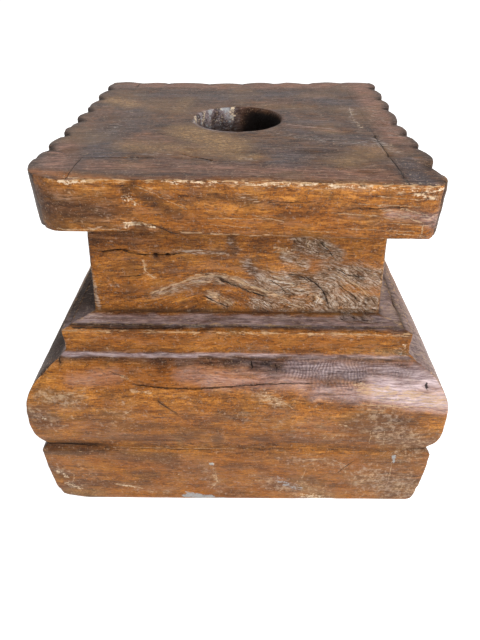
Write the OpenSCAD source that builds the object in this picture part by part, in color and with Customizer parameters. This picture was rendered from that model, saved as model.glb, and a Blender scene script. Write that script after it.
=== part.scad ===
// Square column base carved from a single block of hardwood.
// Reading from the top: a scalloped abacus with a column socket, a plain neck,
// a stepped ledge, a fascia with its fillet, a broad torus, a cut groove and a plinth.
// Origin at the centre of the underside, Z up, the plain edge of the abacus towards -Y.
// All lengths are in millimetres.

/* [Abacus] */
// Width of the abacus across the tips of its lobes
abacus_w = 259; // [230:1:290]
// Depth of the abacus from its plain front edge to the lobes at the back
abacus_d = 256; // [230:1:290]
// How far the abacus sits off the axis of the base, to the right
abacus_shift = -1.5; // [-3:0.5:3]
// Thickness of the abacus
abacus_h = 35; // [25:1:45]
// Depth of the notches between neighbouring lobes
lobe_cut = 5; // [2:0.5:7]
// Radius of the left front corner, the more worn one
left_corner_r = 26; // [4:1:30]
// Radius of the right front corner
right_corner_r = 10; // [4:1:30]
// Radius of the two back corners
back_corner_r = 9; // [4:1:20]
// Radius along the lower edge of the two scalloped sides
soffit_r = 9; // [2:1:12]

/* [Column socket] */
// Diameter of the socket for the foot of the column
socket_d = 68; // [40:1:90]
// Depth of the socket below the top of the abacus
socket_depth = 100; // [40:5:150]

/* [Neck] */
// Width of the neck under the abacus
neck_top_w = 206; // [180:1:215]
// Width of the neck where it meets the ledge
neck_foot_w = 216; // [190:1:225]
// Height of the neck
neck_h = 75; // [50:1:110]
// Width of the flat worn on each corner of the neck
neck_arris_w = 6; // [2:1:12]

/* [Ledge and fascia] */
// Fall of the ledge from the neck to its outer edge, with the small step
ledge_h = 3.5; // [2.5:0.5:8]
// Height of the small step in the ledge
ledge_step_h = 1; // [0.5:0.5:2]
// Distance of the small step from the foot of the neck
ledge_step_out = 14.5; // [6:0.5:16]
// Width over the fascia
fascia_w = 257; // [240:1:275]
// Height of the fascia
fascia_h = 18.5; // [10:0.5:30]
// Width over the narrow fillet below the fascia
fillet_w = 262; // [258:1:285]
// Height of the fillet
fillet_h = 4.5; // [2:0.5:10]

/* [Torus] */
// Width over the widest part of the torus
torus_w = 314.6; // [290:0.1:340]
// Radius of its rounded shoulder
shoulder_r = 36; // [28:1:45]
// Height from the band up to the fillet
shoulder_h = 33.5; // [20:0.5:36]
// Height of the flat band round its widest part
band_h = 17; // [4:1:30]
// Radius of the curve below the band
belly_r = 60; // [40:5:200]
// Height from the groove up to the band
belly_h = 24; // [15:1:35]

/* [Groove and plinth] */
// Height of the bevel between the bottom of the groove and the plinth
groove_h = 5; // [3:0.5:10]
// Width over the top edge of the plinth
plinth_w = 313; // [300:1:330]
// Height of the plinth up to its top edge
plinth_h = 70; // [40:1:100]
// Narrowing of each face of the plinth towards the floor
plinth_batter = 1.2; // [0:0.1:4]
// Radius of the worn bottom edge
foot_r = 12; // [3:1:20]

/* [Hidden] */
$fn = 96;

// How far a cutting shape runs past the face it cuts.
over = 1;

// Widths of the hand-cut lobes in their real proportions, front to back and left to right.
left_lobes = [52, 33, 36, 28, 41, 34, 32];
right_lobes = [26, 36, 28, 26, 42, 31, 37, 30];
back_lobes = [32, 27, 39, 33, 30, 34, 30, 31];

torus_z = plinth_h + groove_h;
fillet_z = torus_z + belly_h + band_h + shoulder_h;
fascia_z = fillet_z + fillet_h;
ledge_z = fascia_z + fascia_h;
neck_z = ledge_z + ledge_h;
abacus_z = neck_z + neck_h;
total_h = abacus_z + abacus_h;

body_color = [0.48, 0.29, 0.16];

function before(widths, i) = i == 0 ? 0 : widths[i - 1] + before(widths, i - 1);
function arc_r(chord, rise) = chord * chord / (8 * rise) + rise / 2;

// ---- profiles, drawn as the right half only, X outwards and Y up ----

// Plinth with a slight batter and a rounded bottom edge.
module plinth_profile() {
    top = plinth_w / 2;
    foot = top - plinth_batter;
    polygon([[0, foot_r], [foot, foot_r], [top, plinth_h], [0, plinth_h]]);
    translate([foot - foot_r, foot_r]) circle(r = foot_r);
    square([foot - foot_r, foot_r]);
}

// Bevel rising from the plinth into the groove under the torus.
module groove_profile() {
    inner = torus_w / 2 - belly_r + sqrt(belly_r * belly_r - belly_h * belly_h);
    polygon([[0, 0], [plinth_w / 2, 0], [inner, groove_h], [0, groove_h]]);
}

// Torus: the lower curve, a flat band and the rounded shoulder.
module torus_profile() {
    half = torus_w / 2;
    intersection() {
        translate([half - belly_r, belly_h]) circle(r = belly_r);
        square([half, belly_h]);
    }
    square([half - belly_r, belly_h]);
    translate([0, belly_h]) square([half, band_h]);
    translate([0, belly_h + band_h]) {
        square([half - shoulder_r, shoulder_h]);
        intersection() {
            translate([half - shoulder_r, 0]) circle(r = shoulder_r);
            square([half, shoulder_h]);
        }
    }
}

// Narrow fillet and the fascia above it.
module fascia_profile() {
    square([fillet_w / 2, fillet_h]);
    translate([0, fillet_h]) square([fascia_w / 2, fascia_h]);
}

// Nearly level ledge with a small step part way out.
module ledge_profile() {
    step_x = neck_foot_w / 2 + ledge_step_out;
    fall = (ledge_h - ledge_step_h) / 2;
    polygon([
        [0, 0], [fascia_w / 2, 0], [step_x, fall],
        [step_x, fall + ledge_step_h], [neck_foot_w / 2, ledge_h], [0, ledge_h]
    ]);
}

// Neck, a little wider at its foot.
module neck_profile() {
    polygon([[0, 0], [neck_foot_w / 2, 0], [neck_top_w / 2, neck_h], [0, neck_h]]);
}

// ---- solids ----

// Straight bar of a half profile, mirrored to full width, running along Y.
module bar(length) {
    rotate([90, 0, 0]) linear_extrude(height = length, center = true) {
        children();
        mirror([1, 0]) children();
    }
}

// A half profile carried round a square plan with mitred corners.
module mitred() {
    intersection() {
        bar(2 * torus_w) children();
        rotate([0, 0, 90]) bar(2 * torus_w) children();
    }
}

// Plinth, groove and torus.
module base_mouldings() {
    mitred() {
        plinth_profile();
        translate([0, plinth_h]) groove_profile();
        translate([0, torus_z]) torus_profile();
    }
}

// Fillet, fascia and ledge.
module fascia_and_ledge() {
    translate([0, 0, fillet_z]) mitred() {
        fascia_profile();
        translate([0, fillet_h + fascia_h]) ledge_profile();
    }
}

// Neck between the ledge and the abacus, a flat worn on each of its four corners.
module neck() {
    foot = (neck_foot_w - neck_arris_w / sqrt(2)) / sqrt(2);
    top = (neck_top_w - neck_arris_w / sqrt(2)) / sqrt(2);
    translate([0, 0, neck_z]) intersection() {
        mitred() neck_profile();
        rotate([0, 0, 45]) mitred() polygon([[0, 0], [foot, 0], [top, neck_h], [0, neck_h]]);
    }
}

// Shallow convex lobes along the edge Y = 0, centred on X = 0, sharing out the length.
module lobe_row(widths, length) {
    unit = length / before(widths, len(widths));
    intersection() {
        translate([-length / 2, -2 * lobe_cut]) square([length, 3 * lobe_cut]);
        union() for (i = [0 : len(widths) - 1]) {
            w = widths[i] * unit;
            r = arc_r(w, lobe_cut);
            translate([before(widths, i) * unit + (w - length) / 2, -r]) circle(r = r);
        }
    }
}

// What is cut away to round one corner, with the corner at the origin and the
// block towards +X and +Y. It meets the two faces at a slight angle, as a worn edge does.
module corner_waste(r) {
    wear = r / 25;
    difference() {
        translate([-over, -over]) square(r + over);
        translate([r, r]) circle(r = r + wear);
    }
}

// Outline of the abacus: plain front edge, scalloped left, right and back edges.
module abacus_outline() {
    x = abacus_w / 2;
    y = abacus_d / 2;
    inset = 1.5 * lobe_cut;
    difference() {
        union() {
            translate([inset - x, -y]) square([abacus_w - 2 * inset, abacus_d - inset]);
            translate([0, y]) lobe_row(back_lobes, abacus_w);
            translate([-x, 0]) rotate(90) lobe_row(left_lobes, abacus_d);
            translate([x, 0]) mirror([1, 0]) rotate(90) lobe_row(right_lobes, abacus_d);
        }
        translate([-x, -y]) corner_waste(left_corner_r);
        translate([x, -y]) mirror([1, 0]) corner_waste(right_corner_r);
        for (side = [0, 1]) mirror([side, 0])
            translate([-x, y]) mirror([0, 1]) corner_waste(back_corner_r);
    }
}

// Scalloped top slab, the lower edge of its two scalloped sides rounded.
module abacus() {
    translate([abacus_shift, 0, abacus_z]) difference() {
        linear_extrude(height = abacus_h) abacus_outline();
        for (side = [0, 1]) mirror([side, 0, 0]) translate([-abacus_w / 2, 0, 0])
            rotate([90, 0, 0]) linear_extrude(height = 2 * abacus_d, center = true) corner_waste(soffit_r);
    }
}

// Blind socket that takes the round foot of the column.
module column_socket() {
    translate([0, 0, total_h - socket_depth]) cylinder(h = socket_depth + over, d = socket_d);
}

// The whole base, one piece of wood.
module carved_block() {
    color(body_color) difference() {
        union() {
            base_mouldings();
            fascia_and_ledge();
            neck();
            abacus();
        }
        column_socket();
    }
}

carved_block();
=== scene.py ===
# Looks of the carved column base: one weathered block of hardwood with its cracks, chips,
# scribed lines and tool marks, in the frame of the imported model.
import math

import bpy
import numpy as np
from mathutils import Matrix, Vector
from mathutils.geometry import delaunay_2d_cdt


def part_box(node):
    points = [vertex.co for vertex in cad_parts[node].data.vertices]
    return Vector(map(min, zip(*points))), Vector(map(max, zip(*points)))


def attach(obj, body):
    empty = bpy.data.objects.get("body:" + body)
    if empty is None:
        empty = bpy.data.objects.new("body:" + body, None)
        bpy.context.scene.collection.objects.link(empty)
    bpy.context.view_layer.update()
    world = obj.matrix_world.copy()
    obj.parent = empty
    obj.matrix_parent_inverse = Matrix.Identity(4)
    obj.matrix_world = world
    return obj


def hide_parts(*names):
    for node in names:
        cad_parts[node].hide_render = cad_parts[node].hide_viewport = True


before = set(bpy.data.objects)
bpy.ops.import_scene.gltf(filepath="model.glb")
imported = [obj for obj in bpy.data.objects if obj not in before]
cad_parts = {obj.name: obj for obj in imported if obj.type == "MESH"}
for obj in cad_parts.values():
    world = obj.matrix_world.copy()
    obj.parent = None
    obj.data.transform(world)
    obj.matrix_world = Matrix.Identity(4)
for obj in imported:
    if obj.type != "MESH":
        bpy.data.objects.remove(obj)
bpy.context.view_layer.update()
low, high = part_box("carved_block")
MM = 0.001

# ---------------------------------------------------------------- sizes, mm
HALF = (high.x - low.x) / 2 / MM            # half width over the torus
TOP = high.z / MM                           # top of the slab
SLAB_H, NECK_H = 35.0, 75.0
SOFFIT = TOP - SLAB_H
SLAB_CX, SLAB_HX, SLAB_HY = -1.5, 129.5, 128.0
HOLE_R, HOLE_DEPTH, HOLE_C = 34.0, 100, np.array([-0.6, 1.2])
NECK_TOP, NECK_FOOT = 103.0, 108.0          # half widths of the neck
LEFT_LOBES = [51, 32.5, 36, 27.5, 38, 35, 36]
RIGHT_LOBES = [26, 36, 28, 26, 42, 31, 37, 30]
BACK_LOBES = [32, 27, 39, 33, 30, 34, 30, 31]
LOBE_CUT = 5.0


# ---------------------------------------------------------------- noise
def lattice(i, j, k, seed):
    """Repeatable number in -1..1 at whole-number lattice points."""
    h = (i * 374761393 + j * 668265263 + k * 974634777 + seed * 1274126177) & 0xFFFFFFFF
    h = ((h ^ (h >> 13)) * 1274126177) & 0xFFFFFFFF
    h = h ^ (h >> 16)
    return (h & 0xFFFF) / 32767.5 - 1.0


def noise(p, size, seed=0):
    """Smooth noise in -1..1 at points p (n, 3), with features of the given size in mm."""
    q = np.asarray(p, float) / np.asarray(size, float)
    i = np.floor(q).astype(np.int64)
    f = q - i
    f = f * f * (3 - 2 * f)
    out = 0.0
    for corner in np.ndindex(2, 2, 2):
        share = np.where(corner, f, 1 - f)
        out = out + share[:, 0] * share[:, 1] * share[:, 2] * lattice(*(i + corner).T, seed)
    return out


def layered(p, size, seed):
    """Noise with two finer and fainter layers added."""
    shares = (1.0, 0.5, 0.25)
    total = sum(share * noise(p, np.array(size) * share, seed + 17 * k) for k, share in enumerate(shares))
    return total / sum(shares)


def smooth(a, b, x):
    """0 at a and before, 1 at b and beyond, with an even ramp between; a may be above b."""
    t = np.clip((x - a) / (b - a), 0, 1)
    return t * t * (3 - 2 * t)


def line_at(x, points):
    """Height of a line drawn through (x, height) points."""
    return np.interp(x, *np.array(points, float).T)


# ---------------------------------------------------------------- upright profile
SHOULDER_R, SHOULDER_H, BELLY_R, BELLY_H, FOOT_R = 36, 33.5, 60, 24.0, 12
BAND_TOP, BAND_FOOT = 116, 99


def arc(cx, cz, r, a0, a1):
    """Unmarked profile points about 1 mm apart on an arc from angle a0 to a1, in degrees."""
    n = max(2, int(abs(a1 - a0) / 180 * math.pi * r))
    t = np.radians(np.linspace(a0, a1, n + 1))
    return [((cx + r * math.cos(v), cz + r * math.sin(v)), 0) for v in t]


# Points of the profile from the soffit down; +1 marks an arris, -1 an inside corner.
profile = [((NECK_TOP, SOFFIT), -1), ((NECK_FOOT, 176.0), -1), ((122.5, 174.75), 1), ((122.5, 173.75), -1),
           ((128.5, 172.5), 1), ((128.5, 154.0), -1), ((131.0, 154.0), 1), ((131.0, 149.5), -1)]
profile += arc(HALF - SHOULDER_R, BAND_TOP, SHOULDER_R, math.degrees(math.asin(SHOULDER_H / SHOULDER_R)), 0)
profile += arc(HALF - BELLY_R, BAND_FOOT, BELLY_R, 0, -math.degrees(math.asin(BELLY_H / BELLY_R)))[:-1]
profile += [((152.2, 74.6), -1), ((156.5, 70.0), 1), ((155.3, FOOT_R), 0)]
profile += arc(143.3, FOOT_R, FOOT_R, 0, -90)[1:]
outline = np.array([p for p, _ in profile])
mark = np.array([m for _, m in profile])
station = np.concatenate([[0], np.cumsum(np.hypot(*np.diff(outline, axis=0).T))])
NECK_LEN = station[1]


def on_profile(s):
    """Half width and height of the profile at a station, the distance run down it."""
    return np.interp(s, station, outline[:, 0]), np.interp(s, station, outline[:, 1])


def rows_between(a, b, step, ends):
    """Stations from a to b: close together at marked ends, about step apart between."""
    near = [v for v in (0.45, 1.3) if b - a > 4 * v]
    first = [a + v for v in near if ends[0]]
    last = [b - v for v in near if ends[1]]
    s0, s1 = max([a] + first), min([b] + last)
    middle = np.linspace(s0, s1, max(1, int(round((s1 - s0) / step))) + 1)
    out = sorted(set(round(v, 4) for v in [a, *first, *middle, *last]))
    return [v for v in out if v < b - 1e-6]


corners = [0] + [i for i in range(1, len(profile)) if mark[i]] + [len(profile) - 1]
rows = []
for start, end in zip(corners[:-1], corners[1:]):
    length = station[end] - station[start]
    step = 2.35 if start == 0 else 2.6 if end == corners[-1] else 2.3 if length < 70 else 2.25
    rows += rows_between(station[start], station[end], step, (mark[start], mark[end]))
rows = np.array(rows + [station[-1]])


def near_marks(s, sign, reach):
    """1 at the arrises (sign 1) or inside corners (sign -1) of the profile, 0 from reach mm on."""
    out = np.zeros_like(s)
    for at in station[mark == sign]:
        out = np.maximum(out, np.clip(1 - np.abs(s - at) / reach, 0, 1))
    return out


# ---------------------------------------------------------------- columns round the block
def lobe_marks(widths):
    """Ends of the lobes along a side, in -1..1."""
    w = np.array(widths, float)
    return np.concatenate([[0], np.cumsum(w / w.sum())]) * 2 - 1


def side_columns(extra, gap):
    """Positions -1..1 along a side, with the given ones in it and no gap above gap mm."""
    keep = sorted(set([-1.0, 1.0] + [float(v) for v in extra if -1 < v < 1]))
    out = []
    for a, b in zip(keep[:-1], keep[1:]):
        n = max(1, int(math.ceil((b - a) * SLAB_HY / gap)))
        out += list(np.linspace(a, b, n + 1)[:-1])
    return out


def notch_columns(widths):
    """Three columns at every notch between two lobes."""
    return [v + d for v in lobe_marks(widths)[1:-1] for d in (-0.006, 0, 0.006)]


near_ends = [1 - v / SLAB_HY for v in (0.5, 1.2, 2.2, 3.6)]
near_ends += [-v for v in near_ends]
LINE_X = (-101.8, 102.6)                    # where the scribed lines meet the front edge
scribed = [(v + d - SLAB_CX) / SLAB_HX for v in LINE_X for d in (-0.6, 0, 0.6)]
sides = [side_columns(near_ends + extra, gap) for extra, gap in (
    (scribed, 1.85), (notch_columns(RIGHT_LOBES), 3.4), (notch_columns(BACK_LOBES[::-1]), 4.2),
    ([-v for v in notch_columns(LEFT_LOBES)], 3.4))]
col_side = np.concatenate([np.full(len(t), k) for k, t in enumerate(sides)])
col_t = np.concatenate(sides)
N = len(col_t)
LOBES = {1: RIGHT_LOBES, 2: BACK_LOBES[::-1], 3: LEFT_LOBES[::-1]}     # in the order of the columns


def plan(hx, hy, cx=0.0):
    """Points on a rectangle, one for each column, going round from the left front corner."""
    t, on = col_t, [col_side == 0, col_side == 1, col_side == 2]
    x = np.select(on, [cx + t * hx, cx + hx, cx - t * hx], cx - hx)
    y = np.select(on, [-hy, t * hy, hy + 0 * t], -t * hy)
    return np.stack([x, y], -1)


def round_corners(p, hx, hy, radii, cx=0.0):
    """Pulls the points in to the corner circles: front left, front right, back right, back left."""
    q = p.copy()
    for (sx, sy), r in zip(((-1, -1), (1, -1), (1, 1), (-1, 1)), radii):
        c = np.array([cx + sx * (hx - r), sy * (hy - r)])
        v = p - c
        d = np.hypot(v[:, 0], v[:, 1])
        pull = (v[:, 0] * sx > 0) & (v[:, 1] * sy > 0) & (d > r)
        q[pull] = c + v[pull] * (r / d[pull])[:, None]
    return q


def lobe_drop(t, widths, half, seed):
    """How far the edge is cut in at position t (-1..1), in mm."""
    m = lobe_marks(widths)
    out = np.full_like(t, LOBE_CUT)
    for i in range(len(m) - 1):
        on = (t >= m[i] - 1e-9) & (t <= m[i + 1] + 1e-9)
        w = (m[i + 1] - m[i]) * half
        cut = LOBE_CUT * (1 + 0.14 * float(lattice(np.int64(i), np.int64(3), np.int64(5), seed)))
        r = w * w / (8 * cut) + cut / 2
        d = (t[on] - (m[i] + m[i + 1]) / 2) * half
        out[on] = r - np.sqrt(np.maximum(r * r - d * d, 0))
    return out


slab = plan(SLAB_HX, SLAB_HY, SLAB_CX)
for k, (r0, r1) in {1: (10, 14), 2: (14, 9), 3: (9, 26)}.items():      # rounding at the two ends
    on = col_side == k
    half = SLAB_HX if k == 2 else SLAB_HY
    drop = lobe_drop(col_t[on], LOBES[k], half, k)
    drop *= smooth(0.2 * r0, r0, (col_t[on] + 1) * half) * smooth(0.2 * r1, r1, (1 - col_t[on]) * half)
    slab[on, int(k == 2)] += drop if k == 3 else -drop
slab = round_corners(slab, SLAB_HX, SLAB_HY, (26, 13, 14, 9), SLAB_CX)
# The slab was cut by eye: how far its left and right sides stand off a straight line, along Y.
SLAB_LEFT = [(-128, 0.0), (-109, -0.3), (-100, -0.9), (-91, -1.8), (-86, -2.7), (-81, -3.0), (-78.5, -2.3),
             (-76.5, -0.9), (-74, -0.4), (-56, -0.4), (-36, 0.4), (-16, 0.8), (50, 1.6), (128, 2.8)]
SLAB_RIGHT = [(-128, 1.5), (-112, 1.4), (-105, 0.2), (-101, -0.9), (-85, 0.6), (-62, -0.2), (-30, -1.2),
              (0, -1.4), (30, 0.2), (60, 1.6), (90, 2.2), (128, 2.2)]
stand_off = np.where(slab[:, 0] < 0, line_at(slab[:, 1], SLAB_LEFT), line_at(slab[:, 1], SLAB_RIGHT))
slab[:, 0] += smooth(60, 128, np.abs(slab[:, 0])) * stand_off
# Unit normals in plan, pointing into the block.
along = np.roll(slab, -1, 0) - np.roll(slab, 1, 0)
slab_in = np.stack([-along[:, 1], along[:, 0]], -1)
slab_in = slab_in / np.maximum(np.hypot(slab_in[:, 0], slab_in[:, 1]), 1e-9)[:, None]

# ---------------------------------------------------------------- cracks that the rows follow
NECK_CRACK = [(-108, 226.4), (-106, 226.2), (-99, 225.6), (-93, 225.0), (-87, 226.5), (-82, 226.9),
              (-77, 226.3), (-71, 224.0), (-66, 223.1), (-60, 222.8), (-54, 222.5), (-46, 223.2),
              (-38, 224.2), (-25, 225.2), (0, 226)]
NECK_OPEN = [(-107, 0.05), (-96, 0.1), (-92, 0.35), (-87, 0.7), (-80, 0.8), (-75, 0.4), (-70, 0.25),
             (-62, 0.3), (-57, 0.7), (-55, 0.35), (-49, 0.5), (-44, 0.2), (-34, 0.0)]
TORUS_CRACK = [(-80, 68.5), (-72, 69.0), (-60, 70.5), (-50, 71.0), (-30, 71.2), (-15, 70.0), (0, 69.5),
               (20, 68.0), (35, 67.2), (62, 67.0)]
TORUS_OPEN = [(-76, 0.0), (-70, 0.25), (-40, 0.32), (-10, 0.3), (15, 0.28), (40, 0.2), (62, 0.0)]


def neck_station(z):
    """Station on the neck at height z."""
    return (SOFFIT - z) / NECK_H * NECK_LEN


# Station of each crack, its path, its opening, how the path becomes stations, and its depth.
CRACKS = (
    (neck_station(224.5), NECK_CRACK, NECK_OPEN, neck_station, 5.0),
    (NECK_LEN + 69.5, TORUS_CRACK, TORUS_OPEN, lambda v: v + NECK_LEN, 3.0),
)
for at, *_ in CRACKS:                       # five rows for a crack in place of the ones that were there
    kept = [v for v in rows if abs(v - at) > 1.9]
    rows = np.array(sorted(kept + [at + d for d in (-1.5, -0.5, 0, 0.5, 1.5)]))
M = len(rows)


def bend_rows():
    """Stations and crack depths (M, N) below the slab, with the rows bent along the cracks."""
    s = np.repeat(rows[:, None], N, 1)
    depth = np.zeros_like(s)
    front = col_side == 0
    for at, path, opening, to_station, deep in CRACKS:
        x = col_t * np.interp(at, rows, on_profile(rows)[0])
        shift = np.where(front, to_station(line_at(x, path)) - at, 0.0)
        gap = np.maximum(line_at(x, opening), 0.0)
        s = s + shift * np.exp(-(((rows - at) / 7.0) ** 2))[:, None]
        lip = np.abs(np.abs(rows - at) - 0.5) < 0.01
        s[lip] += np.sign(rows[lip] - at)[:, None] * np.where(front & (gap > 0.05), gap - 0.5, 0.0)
        depth[np.abs(rows - at) < 0.01] += deep * smooth(0.05, 0.6, gap) * front
    return s, depth


S, crack_depth = bend_rows()
# Radius of the upright corners of the block by station.
CORNER_R = [(0, 3), (NECK_LEN - 1, 3), (NECK_LEN, 1.2), (NECK_LEN + 47, 1.2), (NECK_LEN + 52, 1.5),
            (NECK_LEN + 90, 2.0), (NECK_LEN + 140, 1.6), (NECK_LEN + 195, 2.0), (NECK_LEN + 215, 7.0)]
# Edge and soffit of the slab: inset, height above the soffit, share of the way in to the neck.
edge_rows = [(0.9, 35.0, 0), (0.28, 34.65, 0), (0.0, 34.0, 0), (0.0, 32.6, 0)]
edge_rows += [(0.0, h, 0) for h in [*np.linspace(30.0, 11.5, 8), 9.0, 7.0, 5.2, 3.6, 2.2, 1.1, 0.35, 0.0]]
edge_rows += [(0.0, 0.0, share) for share in (0.06, 0.2, 0.4, 0.6, 0.8, 0.94)]


def rounded(h, r):
    """How far a rounded lower edge of radius r stands back at height h."""
    return r - math.sqrt(max(r * r - max(r - h, 0) ** 2, 0))


neck_top = round_corners(plan(NECK_TOP, NECK_TOP), NECK_TOP, NECK_TOP, (5,) * 4)
loops = []                             # every loop is (N, 3), in order down the outside
for inset, h, share in edge_rows:
    p = slab + slab_in * inset
    p[:, 0] = np.clip(p[:, 0], slab[:, 0].min() + rounded(h, 3.5), slab[:, 0].max() - rounded(h, 9.0))
    p[:, 1] = np.clip(p[:, 1], -SLAB_HY + rounded(h, 2.0), SLAB_HY - rounded(h, 2.0))
    p = p * (1 - share) + neck_top * share
    loops.append(np.column_stack([p, np.full(N, SOFFIT + h)]))
for row, w, z in zip(rows, *on_profile(S)):
    half = np.median(w)
    p = round_corners(plan(1.0, 1.0) * w[:, None], half, half, (line_at(row, CORNER_R),) * 4)
    loops.append(np.column_stack([p, z]))
outer = np.array(loops)                # (rows, N, 3)


# ---------------------------------------------------------------- top, socket and underside
def fill(rim, points, up=True, inner=None):
    """Triangles through the points inside a flat rim and outside the round loop inner, if there is one."""
    rims = [rim] if inner is None else [rim, inner]
    xy = np.vstack([r[:, :2] for r in rims] + [points])
    edges = []
    for r in rims:
        at, n = len(edges), len(r)
        edges += [(at + i, at + (i + 1) % n) for i in range(n)]
    result = delaunay_2d_cdt([Vector(v) for v in xy], edges, [], 1, 1e-7)
    t = np.array([[result[3][v][0] for v in f] for f in result[2]])
    if inner is not None:
        centre = inner[:, :2].mean(0)
        mid, edge = xy[t].mean(1) - centre, inner[:, :2] - centre
        turn = np.arctan2(edge[:, 1], edge[:, 0])
        order = np.argsort(turn)
        radius = np.interp(np.arctan2(mid[:, 1], mid[:, 0]), turn[order], np.hypot(*edge[order].T),
                           period=2 * math.pi)
        t = t[np.hypot(mid[:, 0], mid[:, 1]) > radius]
    u, v = xy[t[:, 1]] - xy[t[:, 0]], xy[t[:, 2]] - xy[t[:, 0]]
    turned = (u[:, 0] * v[:, 1] - u[:, 1] * v[:, 0] < 0) == up
    t[turned] = t[turned][:, ::-1]
    return t


hole_turn = np.linspace(0, 2 * math.pi, 120, endpoint=False)
ring = np.stack([np.cos(hole_turn), np.sin(hole_turn), 0 * hole_turn], -1)
hole_depths = [0, 0.5, 1.4, 2.8, 4.6, 6.8, 9.2, 11.8, 14.6, 17.6, 21, 25, 30, 37, 46, 58, 72, 86, 98.5]
hole_depths.append(HOLE_DEPTH)
hole = []
for d in hole_depths:                  # the wall is uneven, cut in facets with a gouge
    uneven = 0.55 * noise(ring * 30 + [0, 0, -d * 0.35], 22, 31)
    uneven = uneven + 0.5 * noise(ring * 30 + [0, 0, -d * 0.12], (5, 5, 9), 32)
    facet = 0.9 * np.abs(noise(ring * 34 + [0, 0, -d * 0.25], (7, 7, 14), 33))
    share = 0.55 if d < 1 else 1.0
    r = HOLE_R + 0.2 + (uneven - facet * smooth(0.5, 6, d)) * share + 0.9 * smooth(1.6, 0, d)
    r = r * (1.0 + 0.012 * np.sin(2 * hole_turn))
    hole.append(np.column_stack([HOLE_C + ring[:, :2] * r[:, None], np.full(len(r), TOP - d)]))
hole = np.array(hole)

LINES = [((LINE_X[0], -130), (-100.6, -92)), ((-100.6, -92), (-99.5, 132)), ((LINE_X[1], -130), (99.6, -84)),
         ((99.6, -84), (99.6, 132)), ((-100.6, -92), (99.6, -90)), ((-100.0, 92), (99.6, 92))]
CHECK = [(-36, -82.5), (-31, -86.0), (-27, -89.0), (-22.5, -92.0), (-17.5, -94.8)]


def line_points():
    """Points along the scribed lines and the check, on each and a little to both sides."""
    out = []
    for (x0, y0), (x1, y1) in LINES:
        length = math.hypot(x1 - x0, y1 - y0)
        t = np.linspace(0, 1, int(length / 2.1))
        c = np.stack([x0 + (x1 - x0) * t, y0 + (y1 - y0) * t], -1)
        across = np.array([-(y1 - y0), x1 - x0]) / length
        out += [c + across * off for off in (0.0, -0.6, 0.6)]
    t, k = np.linspace(0, 1, 26), np.linspace(0, 1, len(CHECK))
    c = np.stack([np.interp(t, k, [p[axis] for p in CHECK]) for axis in (0, 1)], -1)
    across = np.array([15.5, 25.0]) / math.hypot(15.5, 25.0)
    return np.vstack(out + [c + across * off for off in (0.0, -0.45, 0.45)])


def segment_distance(p, a, b):
    """Distance in plan from points p to the line from a to b."""
    a, b = np.array(a, float), np.array(b, float)
    t = np.clip(((p - a) @ (b - a)) / ((b - a) @ (b - a)), 0, 1)
    return np.hypot(*(p - a - t[:, None] * (b - a)).T)


def path_distance(p, path):
    """Distance to a line through the given points."""
    return np.min([segment_distance(p, a, b) for a, b in zip(path[:-1], path[1:])], axis=0)


def loop_distance(p, loop):
    """Distance in plan from points p to a closed loop."""
    return path_distance(p, np.vstack([loop[:, :2], loop[:1, :2]]))


def grid(xs, ys, stagger=0.0):
    """Points on a grid, every second row moved along by stagger."""
    gx, gy = np.meshgrid(xs, ys)
    gx = gx + (np.arange(len(gx)) % 2)[:, None] * stagger
    return np.stack([gx.ravel(), gy.ravel()], -1)


def clear_of(p, loop, margin, outside=False):
    """True for points inside the loop, or outside it, and more than margin away from it."""
    inside = np.zeros(len(p), bool)
    for (x0, y0), (x1, y1) in zip(loop[:, :2], np.roll(loop[:, :2], -1, 0)):
        if y1 != y0:
            cross = (y0 > p[:, 1]) != (y1 > p[:, 1])
            inside ^= cross & (p[:, 0] < (x1 - x0) * (p[:, 1] - y0) / (y1 - y0) + x0)
    return (inside != outside) & (loop_distance(p, loop) > margin)


rim = outer[0]
GAP = 2.75
plain_points = grid(np.arange(-129, 128, GAP), np.arange(-127, 128, GAP * 0.9), GAP / 2)
for ends in LINES:
    plain_points = plain_points[segment_distance(plain_points, *ends) > 1.7]
plain_points = plain_points[path_distance(plain_points, CHECK) > 1.6]
special = []
for q in line_points():                # thinned out where two lines cross
    if all((q[0] - s[0]) ** 2 + (q[1] - s[1]) ** 2 > 0.16 for s in special[-400:]):
        special.append(q)
points = np.vstack([special, plain_points])
margin = np.repeat([0.5, 1.3], [len(special), len(plain_points)])
points = points[clear_of(points, rim, margin) & clear_of(points, hole[0], margin, True)]
floor_points = grid(np.arange(-33, 34, 5.5), np.arange(-33, 34, 5.5)) + HOLE_C
floor_points = floor_points[clear_of(floor_points, hole[-1], 2.0)]
under_points = grid(np.arange(-140, 141, 9.0), np.arange(-140, 141, 9.0))
under_points = under_points[clear_of(under_points, outer[-1], 2.5)]

# ---------------------------------------------------------------- the mesh before wear
sheets, tri = [], []                   # blocks of vertices and of triangles


def vertex_ids(p, height=None):
    """Adds vertices, at one height if that is given, and returns their numbers."""
    if height is not None:
        p = np.column_stack([p, np.full(len(p), height)])
    start = sum(len(s) for s in sheets)
    sheets.append(p.reshape(-1, 3))
    return start + np.arange(p[..., 0].size).reshape(p.shape[:-1])


def wall(ids, order):
    """Triangles between closed loops of vertices."""
    a, b = ids[:-1], ids[1:]
    quads = np.stack([a, b, np.roll(b, -1, 1), np.roll(a, -1, 1)], -1).reshape(-1, 4)[:, order]
    return [quads[:, [0, 1, 2]], quads[:, [0, 2, 3]]]


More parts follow.
